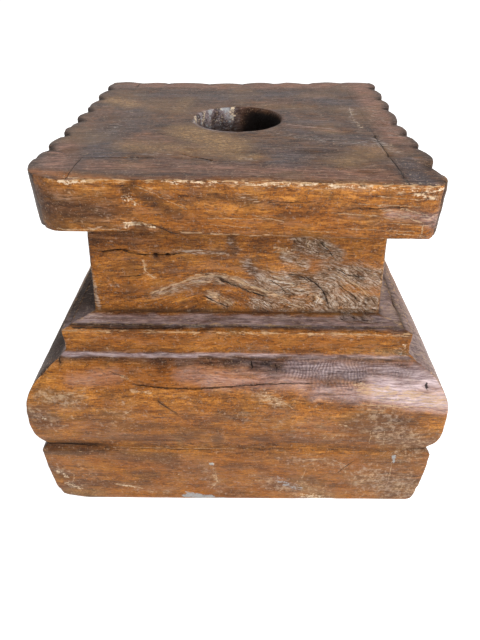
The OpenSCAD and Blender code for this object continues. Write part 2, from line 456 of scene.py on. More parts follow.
outer_ids, hole_ids = vertex_ids(outer), vertex_ids(hole)
point_ids = vertex_ids(points, TOP)
floor_ids, under_ids = vertex_ids(floor_points, TOP - HOLE_DEPTH), vertex_ids(under_points, 0.0)
tri += wall(outer_ids, [0, 1, 2, 3])
tri.append(np.concatenate([outer_ids[0], hole_ids[0], point_ids])[fill(rim, points, inner=hole[0])])
tri += wall(hole_ids, [0, 3, 2, 1])
tri.append(np.concatenate([hole_ids[-1], floor_ids])[fill(hole[-1], floor_points)])
tri.append(np.concatenate([outer_ids[-1], under_ids])[fill(outer[-1], under_points, up=False)])
verts, tri = np.vstack(sheets), np.vstack(tri)
normals = np.zeros_like(verts)
facing = np.cross(verts[tri[:, 1]] - verts[tri[:, 0]], verts[tri[:, 2]] - verts[tri[:, 0]])
for corner in tri.T:
    np.add.at(normals, corner, facing)
normals = normals / np.maximum(np.linalg.norm(normals, axis=1), 1e-12)[:, None]

# ---------------------------------------------------------------- placed marks, mm
# Stains and wear, and painted highlights and shade: u and v of both ends of a stroke, its radius and its
# strength.
PAINT = {
    "top": {
        "orange": [
            (-126, -116, -78, -127, 10, 1), (-70, -124, 40, -126, 6, 0.7), (40, -125, 128, -126, 3.5, 0.4)],
        "tan": [
            (-38, -32, -6, -64, 26, 1.3), (-112, 56, -94, 42, 18, 1), (-76, -66, -4, -80, 18, 0.7),
            (-50, 20, -48, 62, 14, 0.5), (70, -92, 96, -74, 20, 0.7), (2, -90, 12, -88, 9, 0.9),
            (20, 40, 60, 30, 16, 0.3)],
        "blue": [
            (-90, 78, 92, 78, 14, 0.9), (-20, 72, 40, 82, 26, 1.1), (34, -84, 30, -104, 22, 1.1),
            (-98, -40, -90, -84, 22, 1.2), (66, 70, 92, 40, 28, 0.8), (-86, 20, -80, -30, 20, 0.7),
            (108, -92, 112, -124, 14, 1.1), (50, -6, 88, -10, 15, 0.7), (-20, -62, 44, -70, 10, 0.6),
            (40, -30, 96, -52, 14, 0.8)],
        "red": [
            (-100, 116, 128, 112, 20, 1.2), (114, 120, 113, -50, 17, 1.2), (-120, -70, -112, -104, 18, 0.9),
            (-114, 20, -112, -30, 10, 0.3), (36, -16, 74, -27, 6, 0.6), (-90, -104, 90, -116, 14, 0.8)],
        "pale": [
            (-92, 50, -91, 16, 7, 0.35), (-93, -6, -93, -42, 7, 0.4), (93, 34, 90, -30, 5, 0.5),
            (99, -50, 103, -62, 6, 0.7), (104, -70, 108, -76, 5, 0.6), (30, -38, 92, -60, 9, 0.5),
            (38, -15, 72, -25, 3, 0.6), (-64, -82, -44, -86, 6, 0.5), (4, -92, 8, -92, 7, 0.5),
            (108, 40, 116, -40, 10, 0.4), (-60, 100, 100, 104, 10, 0.25)],
        "cream": [
            (-106, -122, -94, -126, 2.4, 0.7), (64, -107, 64, -107, 3, 0.9), (94, 30, 91, 10, 3, 0.7),
            (91, 0, 93, -22, 3.4, 0.6), (103, -58, 108, -62, 3, 0.6), (20, -127, 60, -127, 2, 0.5),
            (88, -126, 124, -124, 2.5, 0.7)],
        "dark": [
            (99.5, -44, 102, -128, 2.6, 0.35), (98.8, -44, 98.8, -44, 3.4, 1),
            (99.8, -84, 99.8, -84, 3.4, 1), (101.6, -117, 101.6, -117, 3, 0.9),
            (-99, 102, -99, 124, 2.4, 0.4), (-128, 44, -124, 40, 6, 0.7), (-126, -18, -122, -22, 5, 0.5),
            (-30, -40, 34, -50, 3, 0.25), (80, 90, 104, 118, 5, 0.3), (-86, 84, 90, 85, 8, 0.4),
            (104, -100, 124, -118, 8, 0.5), (-86, -44, -64, -20, 10, 0.25)],
    },
    "edge": {
        "orange": [
            (-122, 262, -74, 272, 13, 0.7), (-60, 268, -55, 263, 7, 1), (-40, 262, 70, 262, 13, 0.6),
            (-112, 277, -98, 276, 7, 0.5)],
        "grey": [
            (-122, 270, -84, 266, 17, 0.8), (-84, 276, -66, 264, 9, 0.5), (-30, 277, 20, 275, 5, 0.4),
            (86, 267, 124, 266, 10, 0.45)],
        "dark": [
            # The dark strokes from (-129, 258) to (-118, 251) and from (-131, 280) to (-128, 256) are painted
            # shade on the slab's rounded left end.
            (-129, 258, -118, 251, 3.2, 0.8), (-118, 272, -90, 262, 9, 0.4), (-131, 280, -128, 256, 7, 0.9),
            (-58, 277, -36, 264, 4.5, 0.7), (-54, 257, -34, 251, 2, 0.5), (-124, 264, -112, 256, 9, 0.6),
            (-62, 283, -66, 279, 4, 0.9), (-22, 275, 12, 275, 3, 0.5), (20, 254, 60, 253, 4, 0.3)],
        "pale": [
            (-64, 285, -30, 269, 2.2, 0.4), (-40, 285, 124, 283, 2.6, 0.75),
            (-112, 253, -70, 255, 1.8, 0.6), (-34, 252.4, 120, 251.4, 1.6, 1),
            (90, 270, 122, 266, 3.5, 0.5), (2, 277, 10, 276, 4, 0.6)],
        # Painted sheen at the slab's two ends: lighter patches that stand for reflected light.
        "painted_sheen": [(-133, 281, -127, 277, 5, 0.35), (96, 268, 124, 264, 6, 0.3)],
        "cream": [
            (-106, 285, -90, 284.6, 2.2, 1), (-20, 251.8, 118, 251.4, 1.2, 0.6),
            (-67, 276, -60, 270, 3.6, 0.75), (-70, 257, -52, 256, 2.6, 1), (108, 281, 122, 278, 3, 0.85),
            (-44, 285.4, -8, 285.2, 2.4, 0.9), (0, 284.8, 124, 283.6, 2.2, 0.8),
            # The cream stroke from (116.5, 263) to (116.5, 250) is a painted highlight down the lit right
            # corner of the slab.
            (102, 272, 118, 267, 2.2, 0.55), (116.5, 263, 116.5, 250, 1.7, 0.8),
            (60, 284, 80, 283, 2.2, 0.6)],
    },
    "neck": {
        "grey": [
            (-104, 240, -60, 240, 12, 0.55), (-45, 226, -4, 225, 4, 0.7), (-4, 236, 0, 224, 5, 0.8),
            (-106, 196, -104, 180, 4, 0.6), (-62, 190, -10, 205, 6, 0.35), (8, 216, 16, 205, 9, 0.85),
            (-90, 178, -20, 177, 3, 0.5)],
        "orange": [
            (52, 216, 66, 213, 7, 0.9), (102, 198, 104, 186, 5, 1), (-104, 224, -104, 202, 3.5, 0.9),
            (-84, 200, -40, 196, 11, 0.5), (78, 236, 98, 222, 8, 0.4), (-66, 236, -40, 232, 9, 0.3)],
        "pale": [
            (-105.5, 206, -104, 178, 3.6, 1), (6, 216, 17, 207, 7, 0.7), (-60, 192, -30, 205, 3.5, 0.8),
            (-30, 205, -8, 206, 4, 0.8), (-8, 206, 12, 197, 3.5, 0.85), (12, 197, 36, 189, 3, 0.8),
            (-20, 192, -6, 184, 4, 0.8), (-66, 218, -66, 208, 2.2, 0.7), (-66, 208, -60, 205, 2.2, 0.7),
            (-4, 234, 4, 226, 4, 0.5), (-44, 227, -6, 224, 2.8, 0.7)],
        "cream": [
            (-106.6, 204, -106.6, 182, 2, 0.7), (26, 229, 42, 227, 3, 0.75), (-30, 228, -24, 226, 2, 0.6),
            (48, 236, 50, 232, 2.5, 0.6), (8, 218, 18, 216, 2, 0.5)],
        "burl": [
            (44, 234, 70, 224, 9, 1), (34, 222, 48, 217, 7, 0.9), (66, 209, 102, 206, 13, 1),
            (24, 200, 66, 196, 17, 1), (60, 188, 100, 184, 14, 1), (-18, 190, -8, 184, 6, 0.7),
            (14, 184, 96, 178, 8, 0.9), (-60, 190, -20, 205, 4, 0.6), (-20, 206, 20, 196, 5, 0.7)],
        "dark": [
            (-88, 214, -70, 212, 7, 0.35), (52, 206, 67, 191, 1.8, 0.4), (38, 208, 52, 204, 1.8, 0.35),
            (64, 191, 69, 181, 2.2, 0.5), (-10, 203, 22, 190, 2, 0.6), (-57.4, 222.6, -56.6, 222.6, 2.6, 1),
            # The dark band across the neck at height 246 is the painted shadow under the slab.
            (88, 212, 104, 206, 4, 0.4), (-49.4, 223, -48.6, 223, 2.4, 0.9), (-108, 246, 108, 246, 8, 0.5),
            (-40, 182, -6, 178, 5, 0.4)],
    },
    "base": {
        "grey": [
            (-122, 6, 120, 8, 9, 0.9), (-120, 14, 122, 16, 6, 0.9), (-130, 44, 126, 46, 5, 0.95),
            (-130, 49, 20, 51, 7, 0.6), (0, 50, 90, 58, 13, 0.9), (90, 52, 140, 62, 14, 0.8),
            # The grey stroke from (58, 76) to (84, 78) is a painted grey highlight on the shoulder.
            (58, 76, 84, 78, 9, 0.4), (-12, 92, -2, 97, 6, 0.5), (-30, 104, -20, 106, 5, 0.45),
            (-14, 114, -14, 134, 8, 0.6), (-150, 92, -138, 102, 12, 0.6), (116, 96, 146, 196, 30, 0.4),
            (40, 118, 104, 140, 14, 0.3), (-40, 128, 40, 150, 10, 0.25), (-100, 118, -60, 130, 14, 0.35),
            (18, 120, 24, 122, 8, 0.3), (-152, 146, -108, 143, 6, 0.6), (-148, 170, -140, 190, 9, 0.5),
            (-90, 150, -30, 156, 12, 0.25)],
        "blue": [
            (-127, 6, -112, 12, 7, 0.8), (-130, 46, -40, 45, 4, 0.8), (-118, 10, 120, 11, 7, 0.8),
            (-40, 50, 80, 52, 7, 0.7), (30, 56, 96, 60, 11, 0.8), (96, 52, 128, 58, 8, 0.7),
            (98, 5, 124, 10, 7, 0.7), (32, 182, 52, 188, 10, 0.45)],
        "red": [(20, 62, 60, 62, 7, 0.5), (-96, 112, -88, 118, 6, 0.4), (100, 12, 118, 20, 7, 0.4)],
        "orange": [
            (-146, 158, 110, 158, 22, 0.9), (-140, 196, 60, 196, 18, 0.9), (-140, 112, 100, 112, 22, 0.5),
            (-126, 64, 0, 64, 14, 1), (-110, 30, 100, 30, 9, 0.9), (-110, 60, 0, 60, 10, 0.9),
            (0, 66, 60, 64, 7, 0.5), (0, 108, 100, 122, 12, 0.6), (-100, 84, -20, 92, 10, 0.4),
            (-10, 160, 26, 190, 16, 0.65), (-70, 184, -20, 184, 12, 0.6), (-130, 70, -90, 62, 10, 0.5),
            (-140, 160, -100, 172, 12, 0.4)],
        "tan": [
            (106, 38, 124, 40, 5, 1), (-146, 202, -120, 200, 12, 0.9), (58, 188, 84, 206, 14, 0.9),
            (104, 178, 150, 186, 15, 0.75), (114, 112, 118, 132, 8, 0.4), (-142, 78, -120, 84, 9, 0.6),
            (-48, 120, -44, 134, 5, 0.5)],
        "pale": [
            (-130, 23, 126, 24, 1.6, 0.5), (10, 21.5, 126, 23.5, 1.8, 0.85), (-36, 17, -24, 16, 2.4, 1),
            # The pale stroke from (92, 70) to (150, 78) is pale wood under the painted highlight on the
            # torus's right shoulder.
            (92, 70, 150, 78, 8, 0.9), (-78, 66, -84, 63, 2.4, 0.7), (-76, 74, -62, 75, 2.4, 0.9),
            (18, 76, 36, 84, 6, 0.75), (-142, 82, -112, 76, 6, 0.5), (60, 148, 90, 158, 5, 0.5),
            (56, 172, 64, 160, 4, 0.4), (86, 158, 92, 172, 3, 0.4), (110, 108, 116, 130, 5, 0.5),
            (126, 120, 150, 190, 10, 0.35), (-104, 188, -82, 193, 3, 0.85), (-86, 90, -78, 96, 6, 0.4),
            (48, 200, 80, 210, 8, 0.5), (-18, 164, -16, 184, 3, 0.6), (90, 82, 154, 86, 2.4, 0.6)],
        "cream": [
            (60, 202, 84, 208, 7, 0.9), (-149, 170, -142, 180, 4, 0.8), (-146, 186, -136, 196, 5, 0.8),
            (-60, 208, -24, 211, 3, 0.7), (22, 76, 34, 82, 5, 0.55), (124, 33, 124, 34, 3, 1),
            (78, 103, 85, 104, 3.4, 0.7), (-20, 156, -20, 160, 3.2, 1), (-18, 172, -16, 178, 2.6, 0.6),
            (-146, 100, -144, 103, 3, 0.7), (104, 76, 130, 79, 4, 0.6), (-49, 170, -47, 175, 2.4, 0.6),
            (110, 106, 112, 116, 2, 0.6), (28, 178, 34, 182, 2.6, 0.6), (-100, 189, -84, 193, 1.8, 0.9),
            (94, 106, 98, 108, 2.4, 0.5)],
        "ripple": [(44, 54, 90, 58, 12, 0.8), (92, 52, 124, 56, 9, 0.4), (60, 66, 86, 68, 7, 0.5)],
        # Painted sheen: highlights and reflections, the brightest on the torus's right shoulder, with lighter
        # bands along the ledges.
        "painted_sheen": [
            (106, 71, 152, 77, 17, 1.3), (-20, 64, 50, 66, 12, 0.35), (60, 73, 96, 75, 10, 0.5),
            (130, 58, 146, 66, 12, 1), (44, 54, 128, 57, 13, 0.5), (-120, 12, 120, 14, 5, 0.5),
            (-122, 6, 120, 6, 5, 0.4), (-130, 44, -30, 45, 3.5, 0.8), (-30, 43, 126, 44, 3, 0.6),
            (-40, 62, 30, 62, 10, 0.25), (-120, 66, -90, 62, 10, 0.15)],
        "drip": [
            (116, 108, 118, 132, 9, 0.5), (132, 150, 134, 190, 10, 0.5), (-20, 156, -18, 186, 5, 0.5),
            (56, 150, 60, 190, 10, 0.4), (-16, 110, -14, 134, 7, 0.3)],
        "stain": [
            (-150, 158, -136, 190, 14, 0.6), (20, 180, 50, 192, 18, 0.8), (60, 184, 80, 200, 16, 0.6),
            (112, 172, 150, 196, 34, 1), (-24, 166, -14, 196, 12, 0.7), (-146, 78, -116, 84, 12, 0.8),
            (-152, 92, -140, 108, 14, 0.8), (20, 76, 40, 88, 10, 0.6), (40, 150, 96, 160, 18, 0.6),
            (106, 100, 146, 132, 30, 0.85), (-100, 192, -60, 196, 12, 0.4), (-104, 106, -80, 92, 16, 0.4),
            (-60, 150, 10, 200, 24, 0.3), (0, 96, 90, 120, 20, 0.35), (-130, 150, -110, 200, 12, 0.3)],
        "burl": [(78, 4, 96, 5, 5, 0.9), (30, 4, 40, 5, 4, 0.7), (-126, 4, -114, 8, 5, 0.5)],
        "putty": [
            # The putty stroke from (58, 76) to (82, 78) is part of the painted grey highlight on the
            # shoulder.
            (122, 38, 130, 50, 7, 0.35), (104, 5, 120, 13, 8, 0.3), (58, 76, 82, 78, 8, 0.35),
            (-20, 155, -20, 160, 2.6, 0.9), (128, 143, 128, 152, 2.6, 0.9), (36, 178, 52, 190, 8, 0.6),
            (-44, 202, -10, 208, 6, 0.9), (0, 182, 4, 184, 4, 0.5)],
        "dark": [
            (-120, 18.5, -38, 18, 1.8, 0.7), (-154, 136, -110, 137, 4, 0.6), (-58, 81, -44, 93, 1.8, 0.7),
            (11, 50, 11, 55, 1.5, 0.5), (29, 52, 29, 57, 1.5, 0.5), (-133, 42, -131, 54, 2.4, 0.9),
            (80, 4, 96, 5, 3, 0.7), (-156, 92, -148, 110, 6, 0.5), (-152, 142, -108, 143, 7.5, 0.6),
            (-110, 142, -84, 145, 7, 0.6), (128, 140, 150, 142, 4, 0.5), (136, 66, 138, 70, 2, 0.8),
            (104, 92, 134, 102, 6, 0.35), (90, 100, 146, 128, 17, 0.55), (104, 146, 136, 150, 7, 0.35),
            (18, 150, 24, 168, 6, 0.35), (-30, 132, 104, 133, 3, 0.2)],
    },
}
# Dents: u, v, radius and depth.
DENTS = {
    "base": [
        (11, 52.5, 2.6, 1.3), (29, 54.5, 2.6, 1.2), (-30, 16.5, 5, 0.9), (137, 68, 2.6, 1),
        (124, 32, 3, 0.8), (80, 5, 3.5, 1.3), (88, 4, 3, 1.2), (95, 6, 3.2, 1.2), (-69, 75, 4, 0.7),
        (-82, 64, 3.5, 0.7), (-51, 87, 3.5, 0.5), (-48, 172, 4, 0.6), (82, 104, 5, 0.5), (-144, 98, 10, 1),
        (-144, 176, 9, 0.8)],
    "edge": [
        (-61, 256, 8, 1.6), (-47, 254, 5, 1.2), (-64, 281, 4, 1), (-62, 272, 5, 0.6), (115, 280, 5, 0.9),
        (-20, 286, 6, 0.8), (40, 286, 8, 0.7), (75, 286, 7, 0.8), (-118, 285, 8, 0.8)],
    "neck": [
        (-57, 222.6, 2.6, 1.4), (-49, 223, 2.4, 1.2), (-13, 187, 6, 0.8), (12, 211, 8, 0.5),
        (57, 198, 5, 1.3), (66, 192, 4, 1.2), (45, 206, 4, 1), (58, 229, 9, 0.9), (88, 205, 8, 0.8),
        (-104, 214, 4, 0.8)],
    "right": [(60, 100, 10, 1.2), (-40, 52, 7, 0.9), (-96, 118, 8, 1), (22, 204, 6, 0.8), (110, 40, 8, 1)],
    "back": [(-104, 112, 11, 1.4), (62, 34, 8, 1), (24, 206, 6, 0.9), (132, 118, 9, 1.1)],
    "left": [(-72, 108, 9, 1.2), (44, 42, 8, 1), (96, 120, 9, 1.1), (-20, 216, 6, 0.8)],
    "top": [
        (98.8, -44, 3, 1), (99.8, -84, 3.4, 1.2), (101.6, -117, 3, 0.9), (64, -107, 3, 0.6),
        (-100, -122, 8, 0.8)],
}
# Cracks and dark lines: width, then the points (u, v, u, v, ...) that they run through.
INK = {
    "neck": [
        (0.75, -94, 225, -87, 226.6, -81, 226.6, -75, 224.4),
        (0.55, -75, 224.4, -69, 223, -57, 222.6, -48, 223, -40, 224.2), (0.25, -106, 226.4, -94, 225),
        (0.7, 49, 207, 57, 201, 62, 196, 66, 190, 68, 183), (0.6, 37, 208.5, 45, 207, 51, 203.5),
        (0.9, -12, 203, 3, 197, 15, 191.5, 25, 188.5), (0.5, 24, 203, 31, 199, 36, 193),
        (0.5, 70, 214, 80, 208, 90, 206), (0.5, 74, 200, 84, 193, 90, 186),
        (0.8, 58, 233, 64, 228, 68, 222), (0.7, -24, 190, -14, 183, -6, 180), (0.6, -84, 205, -70, 206)],
    "edge": [
        (0.55, -53, 257.4, -45, 254, -34, 251.2), (0.25, -90, 283.2, -72, 282.6, -56, 281.4),
        (0.3, 70, 271, 104, 272.5), (0.3, 20, 274, 48, 275)],
    "base": [
        (0.55, -76, 68.6, -66, 70, -56, 71, -46, 71.4, -30, 71.8, -18, 70.8, 0, 69.2, 12, 68.2, 24, 67.4),
        (0.5, 24, 67.4, 38, 66.8, 56, 66.6), (0.5, -94, 59.5, -84, 63), (0.8, -58, 81, -52, 86, -45, 92),
        (0.8, 11, 50, 12, 55), (0.7, 28.6, 52, 30.4, 57), (1.2, 137, 66, 138, 70),
        (0.9, -120, 18.4, -80, 18.6, -40, 17.6), (0.6, -155, 135.6, -130, 136.4, -112, 137.4),
        (0.3, -106, 138.8, -60, 138.8, -20, 138.4), (0.25, 52, 137.4, 90, 137, 120, 137.6),
        (1.4, 78, 4, 80, 6), (1.4, 87, 3, 89, 5), (1.6, 94, 5, 97, 7), (0.8, -132, 42, -131.4, 53),
        (0.5, 96, 150, 86, 166)],
    "top": [
        (0.8, -36, -82.5, -27, -89, -18, -94.8), (0.35, -52, -74, -36, -82.5),
        (0.45, 102.6, -128, 101, -106, 99.6, -84, 99.4, -58, 98.8, -44), (0.3, 98.8, -44, 98, -20),
        (0.3, -101.6, -126, -100.7, -94), (0.5, -99.6, 104, -99.4, 126), (0.35, -98, -92, -44, -91),
        (0.3, 42, -74, 68, -90), (0.35, -60, -40, -36, -52), (0.35, -80, 92, 40, 92),
        (0.3, -20, -60, 40, -66), (0.6, -125, -77, -113, -84)],
    "right": [
        (0.55, -22, 78, -16, 98, -8, 122, -3, 142), (0.4, 36, 26, 54, 46, 70, 64),
        (0.6, -60, 184, -61, 206, -60, 236), (0.35, 24, 180, 31, 200, 40, 222),
        (0.35, -118, 84, -124, 104, -132, 124), (0.3, 92, 18, 112, 36), (0.5, 84, 88, 98, 104, 110, 122),
        (0.3, -66, 8, -67, 40, -68, 66)],
    "left": [
        (0.6, -46, 76, -42, 100, -34, 130, -30, 146), (0.45, 60, 20, 78, 42, 90, 62),
        (0.5, 30, 182, 38, 204, 50, 232), (0.35, -104, 20, -108, 44, -112, 66),
        (0.35, 96, 84, 112, 108, 122, 124), (0.3, -64, 186, -65, 220)],
    "back": [
        (0.6, -96, 106, -60, 103.6, -20, 105, 22, 103), (0.45, 18, 213, 48, 214.6, 96, 212),
        (0.35, -122, 42, -86, 43.4, -58, 42), (0.5, 40, 124, 66, 122, 102, 123.4),
        (0.35, -96, 196, -70, 200, -50, 198), (0.3, 60, 20, 112, 21.4), (0.4, -70, 268, -20, 267, 10, 268.6)],
}
# Scratches and torn fibres, in the same way.
SCRATCH = {
    "edge": [
        (0.35, -61, 283, -44, 275, -30, 268.6), (0.3, -54, 282, -40, 276), (0.9, -67, 276, -62, 272),
        (0.8, -64, 274.6, -59, 269.4), (1.4, -70, 257.2, -62, 257.6, -53, 257.8),
        # The line from (116.5, 263) to (116.4, 250.5) is a painted highlight down the lit right corner.
        (0.55, 101, 272, 118, 268), (0.5, 99, 268.6, 115, 263.6), (0.7, 116.5, 263, 116.4, 250.5),
        (0.4, 10, 266, 30, 262), (0.4, 84, 268, 98, 264.4), (0.4, -16, 259, 10, 257.4),
        (0.5, -112, 253.2, -72, 253.6), (0.5, -30, 251, 40, 250), (0.6, 108, 281, 122, 279),
        (0.4, 86, 279, 104, 277.6, 121, 277.8), (0.35, 58, 268.6, 86, 267.4), (0.4, 92, 262.4, 122, 261.6),
        (0.35, 68, 258.8, 112, 257.6), (0.4, 74, 274.4, 112, 273.2), (0.35, 36, 257, 64, 256.2),
        (0.35, -18, 262.6, 20, 263.6), (0.4, 100, 256, 119, 255)],
    "neck": [
        (0.9, -64, 191, -46, 199, -30, 205, -16, 206.6, -4, 204.6, 10, 198, 24, 192.6, 37, 188.6),
        (0.6, -58, 190, -44, 196, -28, 201.4, -12, 202), (0.6, -30, 207.4, -14, 209, 2, 205),
        (0.6, -6, 201, 10, 194.6, 26, 189), (1, -20, 191, -12, 186.6, -4, 182.6), (0.7, -22, 187, -14, 183),
        (0.9, -66.5, 219, -66, 210, -61, 205.4), (1.1, 26, 229.4, 42, 227.4), (0.6, 25, 226.4, 40, 224.8),
        (0.7, -44, 227, -26, 226.6, -6, 224), (0.8, 48, 236, 50, 230), (0.7, 56, 234, 66, 228),
        (0.7, 70, 210, 88, 200, 98, 190), (0.7, 40, 200, 54, 194, 64, 186), (0.6, 84, 214, 100, 208),
        (0.6, 30, 186, 50, 180), (0.6, 28, 206, 40, 200, 48, 192)],
    "base": [
        (0.6, 8, 21.4, 60, 22, 126, 23.6), (1.1, -37, 17, -30, 15.4, -23, 15.4), (0.4, -128, 21, -60, 20.4),
        (1, -105, 187.4, -94, 189.4, -82, 194), (0.9, -76, 74, -62, 75), (0.8, -85, 63.2, -78, 65.6),
        (1.3, 77, 102.6, 86, 105), (0.8, 90, 82.4, 120, 83.4, 152, 83), (0.6, 22, 75, 27, 82),
        (0.6, 28, 76, 33, 85), (0.6, 20, 80, 34, 77.4), (0.5, 34, 80, 42, 86),
        (0.6, 98, 74, 118, 72.6, 140, 74.6), (0.6, 104, 78, 146, 80),
        (0.6, 58, 150, 76, 148, 90, 156, 92, 168), (0.9, 56, 176, 58, 164),
        (0.8, -17, 170, -16, 182, -22, 192), (0.6, 114, 106, 117, 128), (0.5, 127, 150, 129, 186),
        (0.5, 104, 110, 106, 128), (0.5, -86, 96, -78, 90), (0.5, -140, 80, -118, 76),
        (0.5, -150, 174, -143, 168, -136, 174, -140, 186), (0.45, -100, 137.4, -60, 137.6, 0, 137)],
    "top": [
        (0.4, 92.6, 34, 91, 4), (0.45, 38, -15, 72, -25.6), (0.25, 36, -41, 84, -54),
        (0.9, -105, -121, -93, -125), (0.3, 97.6, -58, 98.4, -80), (0.3, 101.4, -108, 102.6, -126)],
    "right": [(0.5, 40, 120, 58, 112, 70, 98), (0.5, -84, 36, -60, 28), (0.6, 84, 206, 60, 198)],
    "left": [(0.5, -60, 54, -38, 60), (0.6, 10, 128, 34, 120, 44, 106), (0.5, -90, 214, -70, 204)],
    "back": [
        (0.6, -52, 60, -30, 52), (0.5, 70, 100, 98, 92), (0.6, -30, 224, -8, 216), (0.5, 110, 50, 124, 38)],
}

# ---------------------------------------------------------------- what each vertex belongs to
TOP_FACE, EDGE, SOFFIT_FACE, TUBE, HOLE, UNDER = range(6)
V = len(verts)
OUT = outer_ids.size                   # vertices down the outside come first
face = np.full(V, UNDER)
st = np.full(V, -1.0)                  # station down the outside, from the soffit
side = np.full(V, 4)                   # 0 front, 1 right, 2 back, 3 left, 4 none
lat = np.zeros(V)                      # -1..1 along the side
row_face = [SOFFIT_FACE if share else EDGE for _, _, share in edge_rows] + [TUBE] * M
face[:OUT] = np.repeat([TOP_FACE] + row_face[1:], N)
st[OUT - M * N:OUT] = S.ravel()
side[:OUT] = np.tile(col_side, len(outer))
lat[:OUT] = np.tile(col_t, len(outer))
face[hole_ids] = HOLE
face[point_ids] = TOP_FACE
X, Y, Zm = verts.T
front = (side == 0) & (face != TOP_FACE)
tube, slab_side, in_hole, top_m = face == TUBE, face == EDGE, face == HOLE, face == TOP_FACE
neck_v = tube & (st < NECK_LEN)
base_v = tube & (st >= NECK_LEN)
sb = st - NECK_LEN                     # station from the foot of the neck
edge_f, neck_f, base_f = slab_side & (side == 0), neck_v & (side == 0), base_v & (side == 0)
right_f, left_f = tube & (side == 1), tube & (side == 3)
back_f = (side == 2) & (tube | slab_side)
# Every place has a mask of its vertices and two coordinates.
PLACES = {"top": (top_m, X, Y), "edge": (edge_f, X, Zm), "neck": (neck_f, X, Zm), "base": (base_f, X, sb),
          "right": (right_f, Y, Zm), "back": (back_f, X, Zm), "left": (left_f, Y, Zm)}


def paint(place, strokes, core):
    """Strongest of a list of strokes (u0, v0, u1, v1, radius, strength) with ragged outlines."""
    mask, u, v = PLACES[place]
    q = verts[mask]
    ragged = np.stack([noise(q, (7, 4, 4), 61), noise(q, (7, 4, 4), 62)], -1)
    here = np.stack([u[mask], v[mask]], -1)
    best = np.zeros(len(q))
    for a0, b0, a1, b1, r, strength in strokes:
        p = here + min(2.2, 0.4 * r) * ragged
        spot = (a0, b0) == (a1, b1)
        d = np.hypot(*(p - (a0, b0)).T) if spot else segment_distance(p, (a0, b0), (a1, b1))
        best = np.maximum(best, strength * smooth(r, core * r, d))
    out = np.zeros(V)
    out[mask] = best
    return out


# The first twelve kinds are stored three by three, as patina, warm, marks and light.
KINDS = ("grey", "blue", "red", "orange", "tan", "pale", "cream", "dark", "putty", "painted_sheen", "drip", "stain",
         "burl", "ripple")
tone = {kind: np.zeros(V) for kind in KINDS}
# Share of a stroke's radius that has its full strength; 0.35 for the kinds that aren't named.
CORE = {"painted_sheen": 0.0, "stain": 0.0, "blue": 0.0, "grey": 0.1, "tan": 0.0, "red": 0.0, "orange": 0.0}


def add_tone(kind, amount):
    """Raises a tone to the given amount where it is lower."""
    tone[kind] = np.maximum(tone[kind], amount)


for place, table in PAINT.items():
    for kind, strokes in table.items():
        add_tone(kind, paint(place, strokes, CORE.get(kind, 0.35)))

# Varnish on the plinth and the torus has darkened and rubbed through in patches.
plinth_part = base_f * smooth(138, 146, sb)
torus_part = base_f * smooth(84, 96, sb) * smooth(136, 128, sb)
plinth_patch, torus_patch = layered(verts, (26, 16, 13), 91), layered(verts, (34, 12, 10), 92)
add_tone("dark", plinth_part * smooth(0.0, 0.4, plinth_patch) * 0.55)
add_tone("orange", plinth_part * smooth(-0.1, 0.4, -plinth_patch) * 0.9)
add_tone("tan", plinth_part * smooth(0.1, 0.5, -plinth_patch) * 0.3)
add_tone("dark", torus_part * smooth(0.05, 0.5, torus_patch) * 0.5)
add_tone("red", torus_part * smooth(0.1, 0.5, -torus_patch) * 0.4)

# Faces without placed marks get the same kinds of wear from noise.
other = (side > 0) & ~top_m & ~in_hole
blot = [layered(verts, (34, 26, 20), 71 + k) for k in range(6)]
BLOTS = (("grey", 0.1, 0.6, 0.6), ("orange", 0.0, 0.5, 0.7), ("tan", 0.3, 0.6, 0.7), ("pale", 0.38, 0.6, 0.7),
         ("dark", 0.25, 0.6, 0.6))
for (kind, a, b, strength), field in zip(BLOTS, blot):
    add_tone(kind, other * smooth(a, b, field) * strength)
knot = smooth(30, 10.5, segment_distance(np.stack([X, Zm], -1), (-84, 196), (-40, 206)))
add_tone("burl", (side == 2) * knot * neck_v)
near_face = smooth(40, -120, Y)
# The left side, most towards the front, and the walls of the slab's left lobes are painted in shade.
add_tone("dark", (side == 3) * (tube * (0.2 + 0.8 * near_face) + 0.75 * slab_side))
# Towards the front the right side is weathered grey, blue-grey and stained, and lightened with painted sheen,
# a painted highlight on the lit side.
add_tone("grey", right_f * (0.25 + 0.5 * near_face))
add_tone("blue", (side == 1) * base_v * near_face * smooth(90, 30, sb) * 0.8)
add_tone("stain", right_f * (0.15 + 0.45 * near_face))
add_tone("painted_sheen", (side == 1) * near_face * smooth(110, 60, sb) * base_v * 0.5)
# The front end of the left ledge is taken out of the painted shade and given painted sheen and blue-grey.
ledge_corner = (side == 3) * base_v * smooth(-96, -118, Y) * smooth(52, 40, sb)
add_tone("painted_sheen", ledge_corner * 0.35)
add_tone("blue", ledge_corner * 0.8)
tone["dark"] *= 1 - 0.8 * ledge_corner
# What faces up is greyed, and the whole top too: weathering, and a painted reflection of the bright
# surroundings.
add_tone("grey", np.where(front, 0.0, smooth(0.45, 0.95, np.clip(normals[:, 2], 0, 1))))
tone["grey"][top_m] = 1.0 - 0.75 * tone["orange"][top_m]
for kind, k, strength in (("blue", 0, 0.5), ("red", 1, 0.45), ("tan", 2, 0.3), ("dark", 4, 0.3)):
    add_tone(kind, top_m * smooth(0.05, 0.45, blot[k]) * strength)

